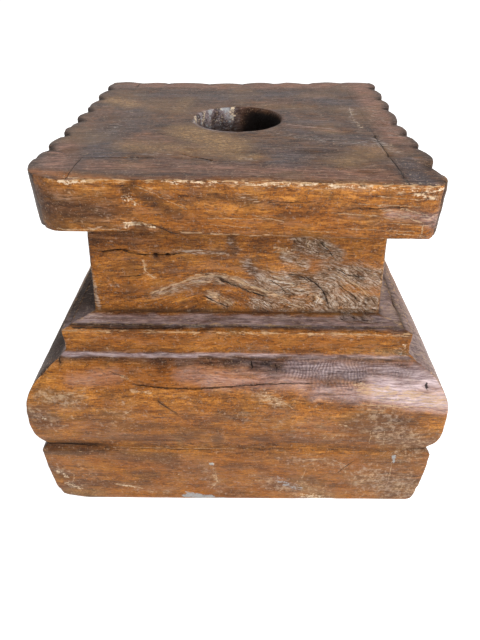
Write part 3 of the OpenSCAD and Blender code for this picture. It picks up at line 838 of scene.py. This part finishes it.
# Worn arrises and dirty hollows, and painted shade in the notches between the lobes.
arris, hollow = np.zeros(V), np.zeros(V)
arris[tube] = near_marks(st[tube], 1, 3.2)
hollow[tube] = near_marks(st[tube], -1, 3.4)
hz = Zm - SOFFIT                       # height above the soffit
arris = np.where(slab_side, np.maximum(np.clip((hz - 31.5) / 3.0, 0, 1), np.clip(1 - hz / 3.5, 0, 1)), arris)
upright = np.clip(1 - (1 - np.abs(lat)) * SLAB_HY / 4.0, 0, 1) * (tube | slab_side)
rim_near, hole_near, notch_near = np.full((3, V), 99.0)
rim_near[point_ids] = loop_distance(points, rim)
rim_near[:N] = 0
hole_near[point_ids] = loop_distance(points, hole[0])
arris = np.maximum(arris, np.clip(1 - rim_near / 3.2, 0, 1))
worn_edge = np.maximum(arris, 0.8 * upright)
lobed = (slab_side & (side > 0)) | (top_m & (Y > -112) & (rim_near < 7))
worn_edge *= np.where(lobed, 0.3, 1.0) * np.where((Y < -100) & (Zm > SOFFIT), smooth(-126, -100, X), 1.0)
notches = []                           # the rim's vertices between the lobes
for k, widths in LOBES.items():
    on = slab_side & (side == k)
    marks = lobe_marks(widths)[1:-1]
    notch_near[on] = np.abs(lat[on][:, None] - marks).min(1) * SLAB_HY
    ids = np.where(side[:N] == k)[0]
    notches += [ids[np.abs(lat[ids] - at).argmin()] for at in marks]
# Painted shade on the flanks of the lobes at the notches, and in dark crescents on the top behind the
# notches, mostly on the left.
flank = slab_side * np.clip(1.4 - notch_near / 7.0, 0, 1)
for k in notches:
    away = np.hypot(X - X[k], Y - Y[k])
    behind = smooth(4.5, 1.5, rim_near) * smooth(15, 6, away) * (Y > Y[k] - 1) * np.where(X < 0, 1.0, 0.3)
    flank = np.maximum(flank, top_m * np.maximum(smooth(4, 1, away), behind * (abs(X[k]) > 100)))
# The walls of the lobes are painted in shade, darker near their top, and the top is darkened along its lobed
# rim.
lobe_shade = np.where(top_m, 0.75 * smooth(7, 1.5, rim_near), np.maximum(np.where(hz > 24, 0.8, 0.4), flank))
add_tone("dark", lobed * lobe_shade)
add_tone("grey", slab_side * (side > 0) * 0.85)
# The notches between the lobes are darkened with the hollows: painted shade.
hollow = np.maximum(hollow, np.clip(1 - notch_near / 3.0, 0, 1))


# ---------------------------------------------------------------- carve and wear the surface
def between(a, b):
    """True for the base's vertices with a station from its top between a and b."""
    return base_v & (sb > a) & (sb < b)


disp = 0.45 * layered(verts, (75, 60, 55), 3) + 0.22 * layered(verts, (46, 9, 9), 4)
disp += 0.1 * noise(verts, (16, 4, 4), 5)
chip = np.clip(layered(verts, (13, 9, 9), 6) - 0.12, 0, 1)
disp -= arris * (0.25 + 2.6 * chip * (0.4 + 0.6 * (blot[5] > -0.2)))
disp -= upright * (0.1 + 2.0 * chip)
open_groove = line_at(X, [(-116, 1.0), (-98, 0.5), (-40, 0.3), (130, 0.25), (150, 0.9)])
groove_edge = between(128, 150) & base_f
hollow *= np.where(base_f & (sb > 128), open_groove, 1.0) * np.where(between(36, 56), 0.25, 1.0)
worn_edge *= np.where(groove_edge, open_groove * 0.6, 1.0) * np.where(between(41, 56), 0.1, 1.0)
disp -= 0.5 * hollow * np.clip(noise(verts, 9, 8), 0, 1)
torn = noise(verts + 6 * np.stack(blot[:3], -1), (14, 5, 5), 9)
disp -= tone["burl"] * (0.55 + 1.1 * np.abs(torn) + 0.35 * noise(verts, (4, 4, 4), 10))
disp -= tone["dark"] * front * neck_v * 0.8
disp -= 0.35 * tone["pale"] * (0.5 + noise(verts, 5, 11)) + 0.3 * tone["cream"]
# Soft hollows hammered or knocked into the faces.
disp -= 1.6 * np.clip(noise(verts, (16, 16, 12), 12) - 0.45, 0, 1) * ~in_hole
for place, dents in DENTS.items():
    mask, u, v = PLACES[place]
    for u0, v0, radius, depth in dents:
        disp -= mask * depth * smooth(radius, 0, np.hypot(u - u0, v - v0))
line_depth = np.zeros(V)
weight_right = line_at(Y, [(-130, 0.5), (-44, 0.35), (-30, 0.2), (90, 0.15), (130, 0.12)])
weight_left = line_at(Y, [(-130, 0.25), (-92, 0.2), (-60, 0.1), (90, 0.1), (110, 0.4), (130, 0.35)])
faint = 0.25 - 0.2 * smooth(-45, 0, X)
broken = smooth(-0.5, 0.3, noise(verts, (16, 16, 16), 41))
for ends, weight in zip(LINES, (weight_left, weight_left, weight_right, weight_right, faint, 0.06)):
    d = segment_distance(verts[:, :2], *ends)
    line_depth = np.maximum(line_depth, top_m * smooth(0.55, 0.1, d) * weight * broken)
line_depth = np.maximum(line_depth, top_m * smooth(0.42, 0.1, path_distance(verts[:, :2], CHECK)) * 2.0)
disp -= line_depth
crack = np.zeros(V)
crack[OUT - M * N:OUT] = crack_depth.ravel()
disp -= crack
# The lip of the socket is rounded, its floor and the underside are plain.
lip = np.clip(noise(verts, (8, 8, 8), 14), 0, 1)
disp -= 0.5 * smooth(4, 0, hole_near) + 0.8 * lip * smooth(5, 0, hole_near)
disp = np.where(in_hole, np.minimum(disp, 0.2) * 0.3, disp)
disp = np.where(face == UNDER, -0.6 * np.abs(disp), disp)
disp *= np.where(tube, 1 - 0.8 * near_marks(st, -1, 1.6), 1.0)
shaped = verts + normals * disp[:, None]
# The V groove is cut deep at the left of the front and fades towards the middle.
fill_share = line_at(X, [(-160, 0), (-116, 0), (-98, 0.45), (-40, 0.7), (20, 0.85), (126, 0.8), (146, 0.3),
                         (153, 0)])
GROOVE_0, GROOVE_1 = 131, 142.5
flush_y = -np.interp(sb, [GROOVE_0, GROOVE_1 - 0.5], [154.7, 156.3])
fill_share = fill_share * smooth(GROOVE_0, GROOVE_0 + 2, sb) * smooth(GROOVE_1, GROOVE_1 - 1.5, sb)
shaped[:, 1] += (base_f & between(GROOVE_0, GROOVE_1)) * (fill_share * (flush_y - shaped[:, 1]))
# The step between fascia and torus is worn to a cove, from one station to the other.
COVE_0, COVE_1 = 38.6, 52.5
cove = smooth(COVE_0, COVE_0 + 1.9, sb) * smooth(COVE_1, COVE_1 - 2, sb) * between(COVE_0, COVE_1)
cove = cove * (0.45 + 0.35 * smooth(-90, -125, Y))
w_now, z_now = on_profile(np.maximum(st, 0))
chord = np.clip((sb - COVE_0) / (COVE_1 - COVE_0), 0, 1)
w_to = 128.5 + (136.2 - 128.5) * chord**1.25
z_to = 155.6 + (148.7 - 155.6) * chord**0.8
shaped[:, :2] *= (1 + (w_to - w_now) * cove / np.maximum(w_now, 1))[:, None]
shaped[:, 2] += (z_to - z_now) * cove
# The slab was planed out of square: its front runs down to the right, its back is high at the right.
lean = slab_side | top_m | (face == SOFFIT_FACE)
top_shift = line_at(X, [(-130, 0.9), (-10, 0.8), (130, -1.6)])
low_shift = line_at(X, [(-130, 0.9), (-62, 0.6), (-40, -0.7), (0, -1.3), (40, -2.6), (100, -3.2),
                        (130, -3.4)])
blend = np.clip((Zm - SOFFIT) / SLAB_H, 0, 1)
shaped[:, 2] += lean * smooth(-86, -128, Y) * (low_shift + (top_shift - low_shift) * blend)
back_rise = line_at(X, [(-130, 0.6), (-60, 0.1), (-20, -0.6), (30, 0.6), (110, 1.6)])
rise = smooth(-128, -92, Y) * (0.9 + smooth(-60, 128, Y) * back_rise)
shaped[:, 2] += rise * (lean * blend + in_hole * np.clip(1 - (TOP - Zm) / 25, 0, 1))

# The torus and the plinth are fuller towards their ends.
fuller_right = line_at(sb, [(8, 0), (22, 0.9), (36, 1.8), (48, 3.6), (62, 3.6), (76, 2.0), (92, 1.5),
                            (110, 2.7), (126, 2.9), (136, 0.3), (141, 0.2), (166, 2.3), (200, 0.9), (219, 0)])
fuller_left = line_at(sb, [(80, 0), (94, 0.6), (108, 1.8), (126, 1.4), (136, 0.4), (146, 1.2), (166, 1.9),
                           (196, 0.8), (219, 0)])
shaped[:, 0] += base_v * fuller_right * smooth(112, 146, X) * smooth(50, -90, Y)
shaped[:, 0] -= base_v * fuller_left * smooth(-112, -146, X) * smooth(110, 0, Y)
# The left front corner of the foot is knocked round.
knock = base_v * smooth(-128, -156, X) * smooth(-128, -156, Y) * smooth(190, 216, sb)
shaped += knock[:, None] * [2.2, 4.0, 0]
shaped[:, 2] += 1.2 * knock * smooth(204, 219, sb)
foot = (base_f & (sb > 198)) * line_at(X, [(-150, 2.4), (-60, 2.2), (60, 1.4), (140, 0.6)])
shaped += normals * (foot * smooth(198, 206, sb) * smooth(218.8, 211, sb))[:, None]
shaped[:, 2] = np.maximum(shaped[:, 2], 0.0)

# Dark in scribed lines, hollows, deep dents and cracks, and painted shade on the lobes' flanks and on the
# left side.
dirt_and_painted_shade = np.clip(line_depth * 1.2 + 0.9 * hollow + 0.5 * (disp < -1.3) + 1.0 * flank, 0, 1)
# Painted shade on the left side of the base, fading towards the back and at the front corner.
left_shade = (side == 3) * base_v * smooth(20, -90, Y) * smooth(130, 90, sb) * smooth(-134, -112, Y) * 0.65
dirt_and_painted_shade = np.maximum(np.maximum(dirt_and_painted_shade, left_shade), np.clip(crack / 1.5, 0, 1))
deep = np.zeros(V)
deep[hole_ids] = np.array(hole_depths)[:, None] / HOLE_DEPTH
# The socket is painted for its light: its left wall as lit, in blue-grey with pale flecks, putty streaks and
# painted sheen; its right wall in painted shade with red-brown painted highlights below the rim.
angle = np.arctan2(Y - HOLE_C[1], X - HOLE_C[0])
round_x, round_y = np.cos(angle), np.sin(angle)
wall_x = round_x * in_hole
lit_wall = smooth(0.25, -0.2, wall_x) * in_hole
streaks = noise(np.column_stack([round_x * 30, round_y * 30, Zm / 3]), (2.5, 2.5, 4), 15)
flakes = noise(np.column_stack([round_x * 34, round_y * 34, Zm]), (5.0, 5.0, 6.0), 16)
tone["grey"][in_hole] = 1.0
add_tone("cream", lit_wall * smooth(0.18, 0.02, deep) * smooth(-0.3, 0.4, flakes) * 1.15)
add_tone("putty", lit_wall * smooth(0.4, 0.03, deep) * (0.3 + 0.35 * smooth(-0.5, 0.7, streaks)))
add_tone("blue", lit_wall)
add_tone("painted_sheen", lit_wall * smooth(0.2, 0.0, deep) * 0.45 * smooth(-0.4, 0.5, streaks))
tone["orange"][in_hole] = (smooth(-0.05, 0.2, wall_x) * smooth(0.12, 0.0, deep) * 0.12)[in_hole]
tone["red"][in_hole] = (smooth(-0.1, 0.1, wall_x) * smooth(0.4, 0.0, deep) * 0.4)[in_hole]
shade = smooth(0.0, 0.2, wall_x) * (0.55 + 0.45 * smooth(0.0, 0.03, deep)) + 0.6 * smooth(-0.1, -0.6, flakes)
add_tone("dark", in_hole * np.clip(shade, 0, 1))
add_tone("pale", (base_v & (sb < 18)) * 0.3)
# Painted shade grows down the socket and on its right wall.
deep = np.clip(deep * 1.6 + 0.5 * smooth(-0.1, 0.5, wall_x) * in_hole * smooth(0, 0.06, deep), 0, 1)
# Grain lifts over the knots: height of the lift, the two coordinates' middles and widths, where.
lift = np.zeros(V)
for height, u, u0, u_size, v, v0, v_size, where in (
    (15, X, -18, 38, Zm, 192, 20, Y < 0), (12, X, 62, 34, Zm, 200, 26, Y < 0),
    (14, X, -62, 36, Zm, 120, 26, Y > 0), (10, X, 40, 44, Y, 40, 26, Zm > 250),
):
    lift += height * np.exp(-(((u - u0) / u_size) ** 2) - ((v - v0) / v_size) ** 2) * where

# ---------------------------------------------------------------- thin lines, mesh and its fields
CHANNELS = 5
DISTANCE_RANGE, WIDTH_RANGE, LIFT_RANGE = 16, 4, 20     # mm that the 0..1 of a stored field stand for


def line_fields(marks):
    """Signed distances to thin lines and their widths, at the vertices, in channels that keep lines apart."""
    dist, width_at = np.full((CHANNELS, V), 8.0), np.zeros((CHANNELS, V))
    held = np.zeros((CHANNELS, V), bool)
    for place, width, path in [(place, w, p) for place in marks for w, *p in marks[place]]:
        mask, u, v = PLACES[place]
        ids = np.where(mask)[0]
        p = np.stack([u[ids], v[ids]], -1)
        best, signed, on = np.full(len(ids), 1e9), np.full(len(ids), 8.0), np.zeros(len(ids), bool)
        bends = np.array(path, float).reshape(-1, 2)
        for start, ab in zip(bends, np.diff(bends, axis=0)):
            away = p - start
            t = (away @ ab) / (ab @ ab)
            d = np.hypot(*(away - np.clip(t, 0, 1)[:, None] * ab).T)
            turn = np.sign(ab[0] * away[:, 1] - ab[1] * away[:, 0])
            signed = np.where(d < best, turn * d, signed)
            best = np.minimum(best, d)
            slack = 0.6 / math.hypot(*ab)
            on |= (d < 3.3) & (t > -slack) & (t < 1 + slack)
        around, core = best < 7.0, best < 3.3
        c = int(np.argmin([(taken[ids] & around).sum() for taken in held]))
        take = around & ~(held[c][ids] & ~core)
        dist[c, ids[take]] = signed[take]
        width_at[c, ids[core & on]] = width
        held[c, ids[around]] = True
    return dist, width_at


mesh = bpy.data.meshes.new("old_block")
mesh.from_pydata((shaped * MM).tolist(), [], tri.tolist())
mesh.update()


def store(name, channels):
    """Keeps three fields as one colour at the vertices."""
    layer = mesh.color_attributes.new(name, "FLOAT_COLOR", "POINT")
    data = np.ones((V, 4), np.float32)
    data[:, :3] = np.clip(np.stack(channels, -1), 0, 1)
    layer.data.foreach_set("color", data.ravel())


for k, name in enumerate(("patina", "warm", "marks", "light")):
    store(name, [tone[kind] for kind in KINDS[3 * k:3 * k + 3]])
store("figure", [tone["burl"], tone["ripple"], lift / LIFT_RANGE])
store("form", [worn_edge, dirt_and_painted_shade, deep])
end_grain = smooth(0.5, 0.9, np.abs(normals[:, 0])) * ((side == 1) | (side == 3)) * ~top_m
for label, marks in (("ink", INK), ("scratch", SCRATCH)):
    for c, (dist, width_at) in enumerate(zip(*line_fields(marks))):
        store(f"{label}_{c}", [dist / DISTANCE_RANGE + 0.5, width_at / WIDTH_RANGE, end_grain])
block = bpy.data.objects.new("old_block", mesh)
bpy.context.scene.collection.objects.link(block)
mesh.polygons.foreach_set("use_smooth", [True] * len(mesh.polygons))


# ---------------------------------------------------------------- material
def linear(colour):
    """A colour written as three numbers up to 255, as the node sockets take it; others as they are."""
    if isinstance(colour, Value):
        return colour
    shares = [c / 255.0 for c in colour]
    return (*[c / 12.92 if c <= 0.04045 else ((c + 0.055) / 1.055) ** 2.4 for c in shares], 1.0)


class Value:
    """An output of a node, for sums written in the plain way."""

    def __init__(self, nodes, socket):
        self.nodes = nodes
        self.socket = socket

    def __add__(self, other):
        return self.nodes.math("ADD", self, other)

    def __sub__(self, other):
        return self.nodes.math("SUBTRACT", self, other)

    def __rsub__(self, other):
        return self.nodes.math("SUBTRACT", other, self)

    def __mul__(self, other):
        return self.nodes.math("MULTIPLY", self, other)


class Nodes:
    """Makes and links the nodes of a material or of the world."""

    def __init__(self, owner):
        owner.use_nodes = True
        self.tree = owner.node_tree

    def add(self, kind, ins=None, out=0, **props):
        node = self.tree.nodes.new(kind)
        for name, value in props.items():
            setattr(node, name, value)
        for key, value in (ins or {}).items():
            self.put(value, node.inputs[key])
        outputs = [Value(self, socket) for socket in node.outputs]
        return outputs if out is None else outputs[out]

    def put(self, value, socket):
        """Links a value to a socket, or sets the socket to a plain number."""
        if isinstance(value, Value):
            self.tree.links.new(value.socket, socket)
        else:
            socket.default_value = value

    def math(self, op, a, b=0.0, clamp=False):
        return self.add("ShaderNodeMath", {0: a, 1: b}, operation=op, use_clamp=clamp)

    def vec(self, op, a, b):
        return self.add("ShaderNodeVectorMath", {0: a, 1: b}, operation=op)

    def join(self, x=0.0, y=0.0, z=0.0):
        return self.add("ShaderNodeCombineXYZ", {0: x, 1: y, 2: z})

    def mix(self, share, a, b):
        return self.add("ShaderNodeMix", {0: share, 6: linear(a), 7: linear(b)}, out=2, data_type="RGBA")

    def step(self, x, a, b, lo=0.0, hi=1.0):
        ins = {"Value": x, "From Min": a, "From Max": b, "To Min": lo, "To Max": hi}
        return self.add("ShaderNodeMapRange", ins, interpolation_type="SMOOTHSTEP")

    def noise(self, vector, size, detail=2.0, rough=0.5, out=0):
        """Noise with features of the given size in mm (a number or one per axis)."""
        size = (size,) * 3 if isinstance(size, (int, float)) else size
        ins = {"Vector": self.vec("DIVIDE", vector, size), "Scale": 1.0, "Detail": detail, "Roughness": rough}
        return self.add("ShaderNodeTexNoise", ins, out=out)

    def ramp(self, x, stops):
        colour = self.add("ShaderNodeValToRGB", {0: x})
        elements = colour.socket.node.color_ramp.elements
        while len(elements) < len(stops):
            elements.new(0.5)
        for element, (position, stop) in zip(elements, stops):
            element.position, element.color = position, linear(stop)
        return colour

    def split(self, name):
        field = self.add("ShaderNodeAttribute", attribute_name=name, attribute_type="GEOMETRY")
        return self.add("ShaderNodeSeparateColor", {0: field}, out=None)


def old_wood():
    """Old varnished and weathered hardwood, from noise and the fields kept at the vertices."""
    material = bpy.data.materials.new("old_wood")
    n = Nodes(material)
    step = n.step
    grey, blue, red = n.split("patina")
    orange, tan, pale = n.split("warm")
    cream, dark, putty = n.split("marks")
    burl, ripple, lifted = n.split("figure")
    worn_edges, dirt_and_shade, depth = n.split("form")
    painted_sheen, drip, stain = n.split("light")
    end = n.split("ink_0")[2]
    here = n.vec("MULTIPLY", n.add("ShaderNodeTexCoord", out=3), (1000, 1000, 1000))

    # Grain runs along X; it lifts over knots and wanders more in the burl.
    sway = n.vec("SUBTRACT", n.noise(here, (30, 18, 18), 2, out=1), (0.5, 0.5, 0.5))
    swing = burl * 14.0 + 5.0
    sway = n.vec("MULTIPLY", sway, n.join(8.0, swing, swing))
    grain = n.vec("ADD", n.vec("ADD", here, n.join(z=lifted * -LIFT_RANGE)), sway)
    wide = n.noise(grain, (80, 10, 10), 3, 0.6)
    middle = n.noise(grain, (30, 3.4, 3.4), 3, 0.65)
    fine = n.noise(grain, (13, 1.35, 1.35), 3, 0.75)
    pore = n.noise(grain, (4.2, 0.85, 0.85), 1, 0.5)
    cloud = n.noise(here, (40, 26, 20), 3, 0.6)
    mottle = n.noise(here, (12, 9, 8), 3, 0.65)
    speck = n.noise(here, 2.0, 2, 0.8)
    smear = n.noise(here, (7, 5, 4), 3, 0.7)
    grit = n.noise(here, 1.3, 2, 0.8)
    # Growth rings round a heart below the block: arcs on the end faces, bands on the long ones.
    x, y, z = n.add("ShaderNodeSeparateXYZ", {0: n.vec("ADD", grain, (0, 60, 90))}, out=None)
    radius = n.math("SQRT", y * y + z * z)
    ring = n.math("SINE", (radius + wide * 10.0) * 1.3)
    ray = n.noise(n.join(x, n.math("ARCTAN2", y, z) * 190.0, radius), (40, 1.5, 16), 2, 0.7)
    g = wide * 0.36 + middle * 0.3 + fine * 0.6
    g = g + ((grit - 0.5) * 0.3 + 0.03)
    g = g + end * (ring * 0.07 + (ray - 0.5) * 0.5)
    g = g + (ring * 0.02 + (cloud - 0.5) * 0.5)
    g = g + (speck - 0.5) * (0.56 - end * 0.3)
    colour = n.ramp(g, [(0.475, (72, 41, 19)), (0.585, (128, 75, 30)), (0.7, (166, 102, 40)),
                        (0.85, (216, 146, 70))])

    def coat(amount, paint):
        """Lays a colour over what is there."""
        nonlocal colour
        colour = n.mix(amount, colour, paint)

    honey = n.mix(step(fine * 0.45 + mottle * 0.55, 0.36, 0.62), (132, 74, 26), (188, 114, 44))
    coat(orange * step(mottle, 0.22, 0.55, 0.3, 0.85), honey)
    umber = n.mix(step(cloud, 0.4, 0.6), (104, 68, 44), (150, 104, 50))
    coat(step(mottle, 0.42, 0.66, 0.0, 0.42), umber)
    # Greys on what faces up: weathering, and a painted reflection of the bright surroundings.
    veil = middle * 0.3 + fine * 0.4 + (mottle * 0.14 + speck * 0.16)
    weather_and_reflection = n.ramp(veil, [(0.445, (22, 16, 14)), (0.505, (56, 42, 37)), (0.553, (92, 74, 67)),
                            (0.615, (146, 126, 116))])
    coat(grey * step(smear, 0.2, 0.6, 0.55, 0.92), weather_and_reflection)
    slate = n.mix(step(fine, 0.37, 0.63), (38, 34, 38), (100, 93, 98))
    coat(blue * step(middle, 0.3, 0.65, 0.4, 0.9), slate)
    rust = n.mix(step(fine, 0.37, 0.63), (102, 66, 50), (176, 128, 106))
    coat(red * step(middle, 0.3, 0.65, 0.4, 0.9), rust)
    straw = n.mix(step(speck, 0.37, 0.63), (112, 82, 50), (180, 142, 96))
    coat(tan * step(smear, 0.26, 0.58, 0.35, 0.95), straw)
    # Torn, swirling figure of the burl: strands that run down to the right.
    x, y, z = n.add("ShaderNodeSeparateXYZ", {0: grain}, out=None)
    slant = n.join(x * 0.92 + z * -0.39, y, x * 0.39 + z * 0.92)
    strand = n.noise(slant, (13, 1.3, 1.3), 3, 0.8) + (grit - 0.5) * 0.2
    torn_wood = n.ramp(strand, [(0.36, (52, 36, 27)), (0.44, (122, 90, 66)), (0.53, (168, 142, 118)),
                                (0.65, (218, 204, 190))])
    coat(burl * step(smear, 0.3, 0.5, 0.35, 0.95), torn_wood)
    # Smoked places, painted shade on the left side, the lobes and the socket's right wall, and soaked and
    # rubbed places.
    coat(dark * step(speck, 0.25, 0.6, 0.55, 0.92), (44, 29, 22))
    coat(step(pore, 0.57, 0.66) * 0.5, (52, 32, 22))
    coat(step(speck, 0.58, 0.7) * 0.5, (60, 40, 30))
    coat(step(speck, 0.42, 0.3) * 0.4, (196, 160, 128))
    haze = n.noise(grain, (28, 8, 6), 3, 0.7)
    coat(step(haze, 0.52, 0.66) * ((1.0 - grey * 0.8) * 0.26), (176, 130, 98))
    murk = n.noise(here, (20, 10, 8), 3, 0.75)
    coat(step(murk, 0.53, 0.66) * 0.42, (92, 62, 38))
    # Painted sheen: pale pink highlights and reflections laid into the colour; the same mask also makes the
    # surface smoother.
    sheen_tint = n.mix(step(fine, 0.3, 0.7), (158, 132, 134), (240, 218, 220))
    coat(painted_sheen * step(middle, 0.25, 0.62, 0.3, 0.95), sheen_tint)
    bend = n.noise(here, (26, 12, 8), 2, 0.6)
    wavy = n.math("SINE", x * 2.3 + bend * 30.0) * 0.5 + 0.5
    coat(ripple * step(wavy, 0.35, 1.0) * step(smear, 0.3, 0.6, 0.1, 0.5), (78, 62, 72))
    wisp = n.noise(grain, (7, 1.25, 1.25), 2, 0.8)
    chalk = n.mix(grey, (206, 168, 130), (184, 170, 160))
    coat(step(wisp + pale * 0.26, 0.64, 0.82) * 0.75, chalk)
    trickle = n.noise(here, (1.6, 1.6, 12), 2, 0.8) + (drip * 0.3 + (mottle - 0.5) * 0.35)
    coat(step(trickle, 0.74, 0.96) * 0.7, (194, 164, 122))
    soaked = n.mix(step(middle, 0.35, 0.65), (96, 64, 44), (140, 96, 62))
    coat(stain * 0.45, soaked)
    crust = n.noise(here, (3.4, 3.4, 4.0), 2, 0.75) + (speck - 0.5) * 0.4
    crust = crust + (stain * 0.22 + (smear - 0.5) * 0.5)
    dried = n.mix(step(cloud, 0.42, 0.58), (182, 158, 138), (212, 178, 142))
    coat(step(crust, 0.6, 0.92) * 0.62, dried)
    smudge = n.noise(here, (9, 6, 6), 3, 0.7)
    coat(stain * step(smudge, 0.52, 0.66) * 0.5, (204, 174, 140))
    coat(stain * step(smudge, 0.46, 0.34) * 0.6, (92, 58, 36))
    worn = worn_edges + (smear - 0.5) * 2.0 + (wisp - 0.5) * 2.6
    coat(step(worn, 0.75, 1.2) * 0.75, (206, 166, 122))
    bright = cream * 0.8 + (speck - 0.5) * 1.7 + (wisp - 0.5) * 1.5
    coat(step(bright, 0.55, 0.95) * 0.9, (236, 212, 180))
    daub = putty + (smear - 0.5) * 1.4 + (speck - 0.5) * 1.2
    coat(step(daub, 0.45, 0.95) * 0.8, (176, 182, 184))

    # Thin cracks and scratches, from the distances kept at the vertices.
    wobble = (n.noise(here, 4.0, 2) - 0.5) * 2.4

    def drawn(label, grow):
        """1 on the lines, which grow thicker and thinner along their way."""
        total = None
        for c in range(CHANNELS):
            distance, width, _ = n.split(f"{label}_{c}")
            off = n.math("ABSOLUTE", (distance - 0.5) * DISTANCE_RANGE + wobble)
            within = n.math("DIVIDE", width * (WIDTH_RANGE / 2) * grow - off, 0.5)
            line = n.math("ADD", within, 0.5, clamp=True) * step(width, 0.04, 0.08)
            total = line if total is None else n.math("MAXIMUM", total, line)
        return total

    scratch = drawn("scratch", step(smear, 0.34, 0.62, 0.0, 1.5))
    coat(scratch * step(speck, 0.3, 0.62, 0.15, 0.8), n.mix(grey, (214, 180, 140), chalk))
    ink = drawn("ink", step(smear, 0.3, 0.62, 0.25, 1.35))
    coat(ink * 0.92, (26, 17, 13))
    # Dirt in the hollows, lines and cracks, and painted shade on the left side and the lobes' flanks.
    coat(dirt_and_shade * step(speck, 0.2, 0.6, 0.6, 0.95), (34, 23, 18))
    # Painted shade deep in the socket and on its right wall.
    coat(step(depth, 0.06, 0.55), (18, 12, 10))

    rough = speck * 0.26 + fine * 0.2 + (burl * 0.16 + dirt_and_shade * 0.3) + painted_sheen * -0.12
    height = fine * 0.45 + speck * 0.35 + middle * 0.5 - step(pore, 0.58, 0.68) * 0.35
    height = height + strand * burl * 2.2 + wavy * ripple * 0.8 - ink * 1.2 - scratch * 0.5
    shader = n.tree.nodes["Principled BSDF"].inputs
    n.put(colour, shader["Base Color"])
    n.put(n.math("ADD", rough, 0.27, clamp=True), shader["Roughness"])
    n.put(n.add("ShaderNodeBump", {"Strength": 0.8, "Distance": 0.0007, "Height": height}), shader["Normal"])
    n.put(0.17, shader["Specular IOR Level"])
    return material


mesh.materials.append(old_wood())
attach(block, "root")
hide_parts("carved_block")

# ---------------------------------------------------------------- camera, light, floor
scene = bpy.context.scene
cam = bpy.data.cameras.new("camera")
cam.sensor_fit = "AUTO"
cam.sensor_width = 36.0
cam.lens = 27.928125
camera = bpy.data.objects.new("camera", cam)
scene.collection.objects.link(camera)
yaw, pitch, roll = math.radians(-0.638), math.radians(37.31), math.radians(0.212)
ahead = Vector((math.sin(yaw) * math.cos(pitch), math.cos(yaw) * math.cos(pitch), -math.sin(pitch)))
right = Vector((math.cos(yaw), -math.sin(yaw), 0.0))
above = right.cross(ahead)
rolled_right = math.cos(roll) * right + math.sin(roll) * above
rolled_above = -math.sin(roll) * right + math.cos(roll) * above
turned = Matrix((rolled_right, rolled_above, -ahead)).transposed()
eye = Vector((0.0059, -0.4103, high.z + 0.1128))
camera.matrix_world = Matrix.Translation(eye) @ turned.to_4x4()
scene.camera = camera


def area_light(name, place, target, size, power):
    """A rectangular lamp at place that shines at target."""
    data = bpy.data.lights.new(name, "AREA")
    data.shape = "RECTANGLE"
    data.size, data.size_y = size
    data.energy = power
    light = bpy.data.objects.new(name, data)
    light.location = place
    light.rotation_euler = (Vector(target) - Vector(place)).to_track_quat("-Z", "Y").to_euler()
    scene.collection.objects.link(light)


area_light("key", (1.05, -1.05, 1.3), (0, 0, 0.14), (0.8, 0.8), 24.0)
area_light("window", (0.62, -1.85, 0.58), (0.05, 0, 0.14), (0.40, 0.30), 10.0)
area_light("behind", (-1.1, 0.9, 1.7), (0, 0, 0.14), (1.0, 0.8), 9.0)


FILL = 0.26                            # light that comes from all round


def when_seen(nodes, lighting, seen):
    """One value for rays that light the block, another for the ones that see the background itself."""
    names = ("Is Camera Ray", "Is Glossy Ray", "Is Transmission Ray")
    path = nodes.add("ShaderNodeLightPath").socket.node.outputs
    ray = Value(nodes, path[names[0]])
    for name in names[1:]:
        ray = nodes.math("MAXIMUM", ray, Value(nodes, path[name]))
    return nodes.add("ShaderNodeMapRange", {"Value": ray, "To Min": lighting, "To Max": seen})


world = bpy.data.worlds.new("studio")
scene.world = world
sky = Nodes(world)
back = sky.tree.nodes["Background"].inputs
back["Color"].default_value = (1, 1, 1, 1)
sky.put(when_seen(sky, FILL, 1.0), back["Strength"])
floor_mesh = bpy.data.meshes.new("floor")
floor_mesh.from_pydata([(-9, -9, 0), (9, -9, 0), (9, 9, 0), (-9, 9, 0)], [], [(0, 1, 2, 3)])
floor = bpy.data.objects.new("floor", floor_mesh)
scene.collection.objects.link(floor)
floor_paint = bpy.data.materials.new("floor")
ground = Nodes(floor_paint)
looks = {"Base Color": (0.8, 0.8, 0.8, 1), "Roughness": 1.0, "Specular IOR Level": 0.0,
         "Emission Color": (1, 1, 1, 1), "Emission Strength": when_seen(ground, 0.0, 0.88)}
for name, value in looks.items():
    ground.put(value, ground.tree.nodes["Principled BSDF"].inputs[name])
floor_mesh.materials.append(floor_paint)
scene.view_settings.view_transform = "Standard"
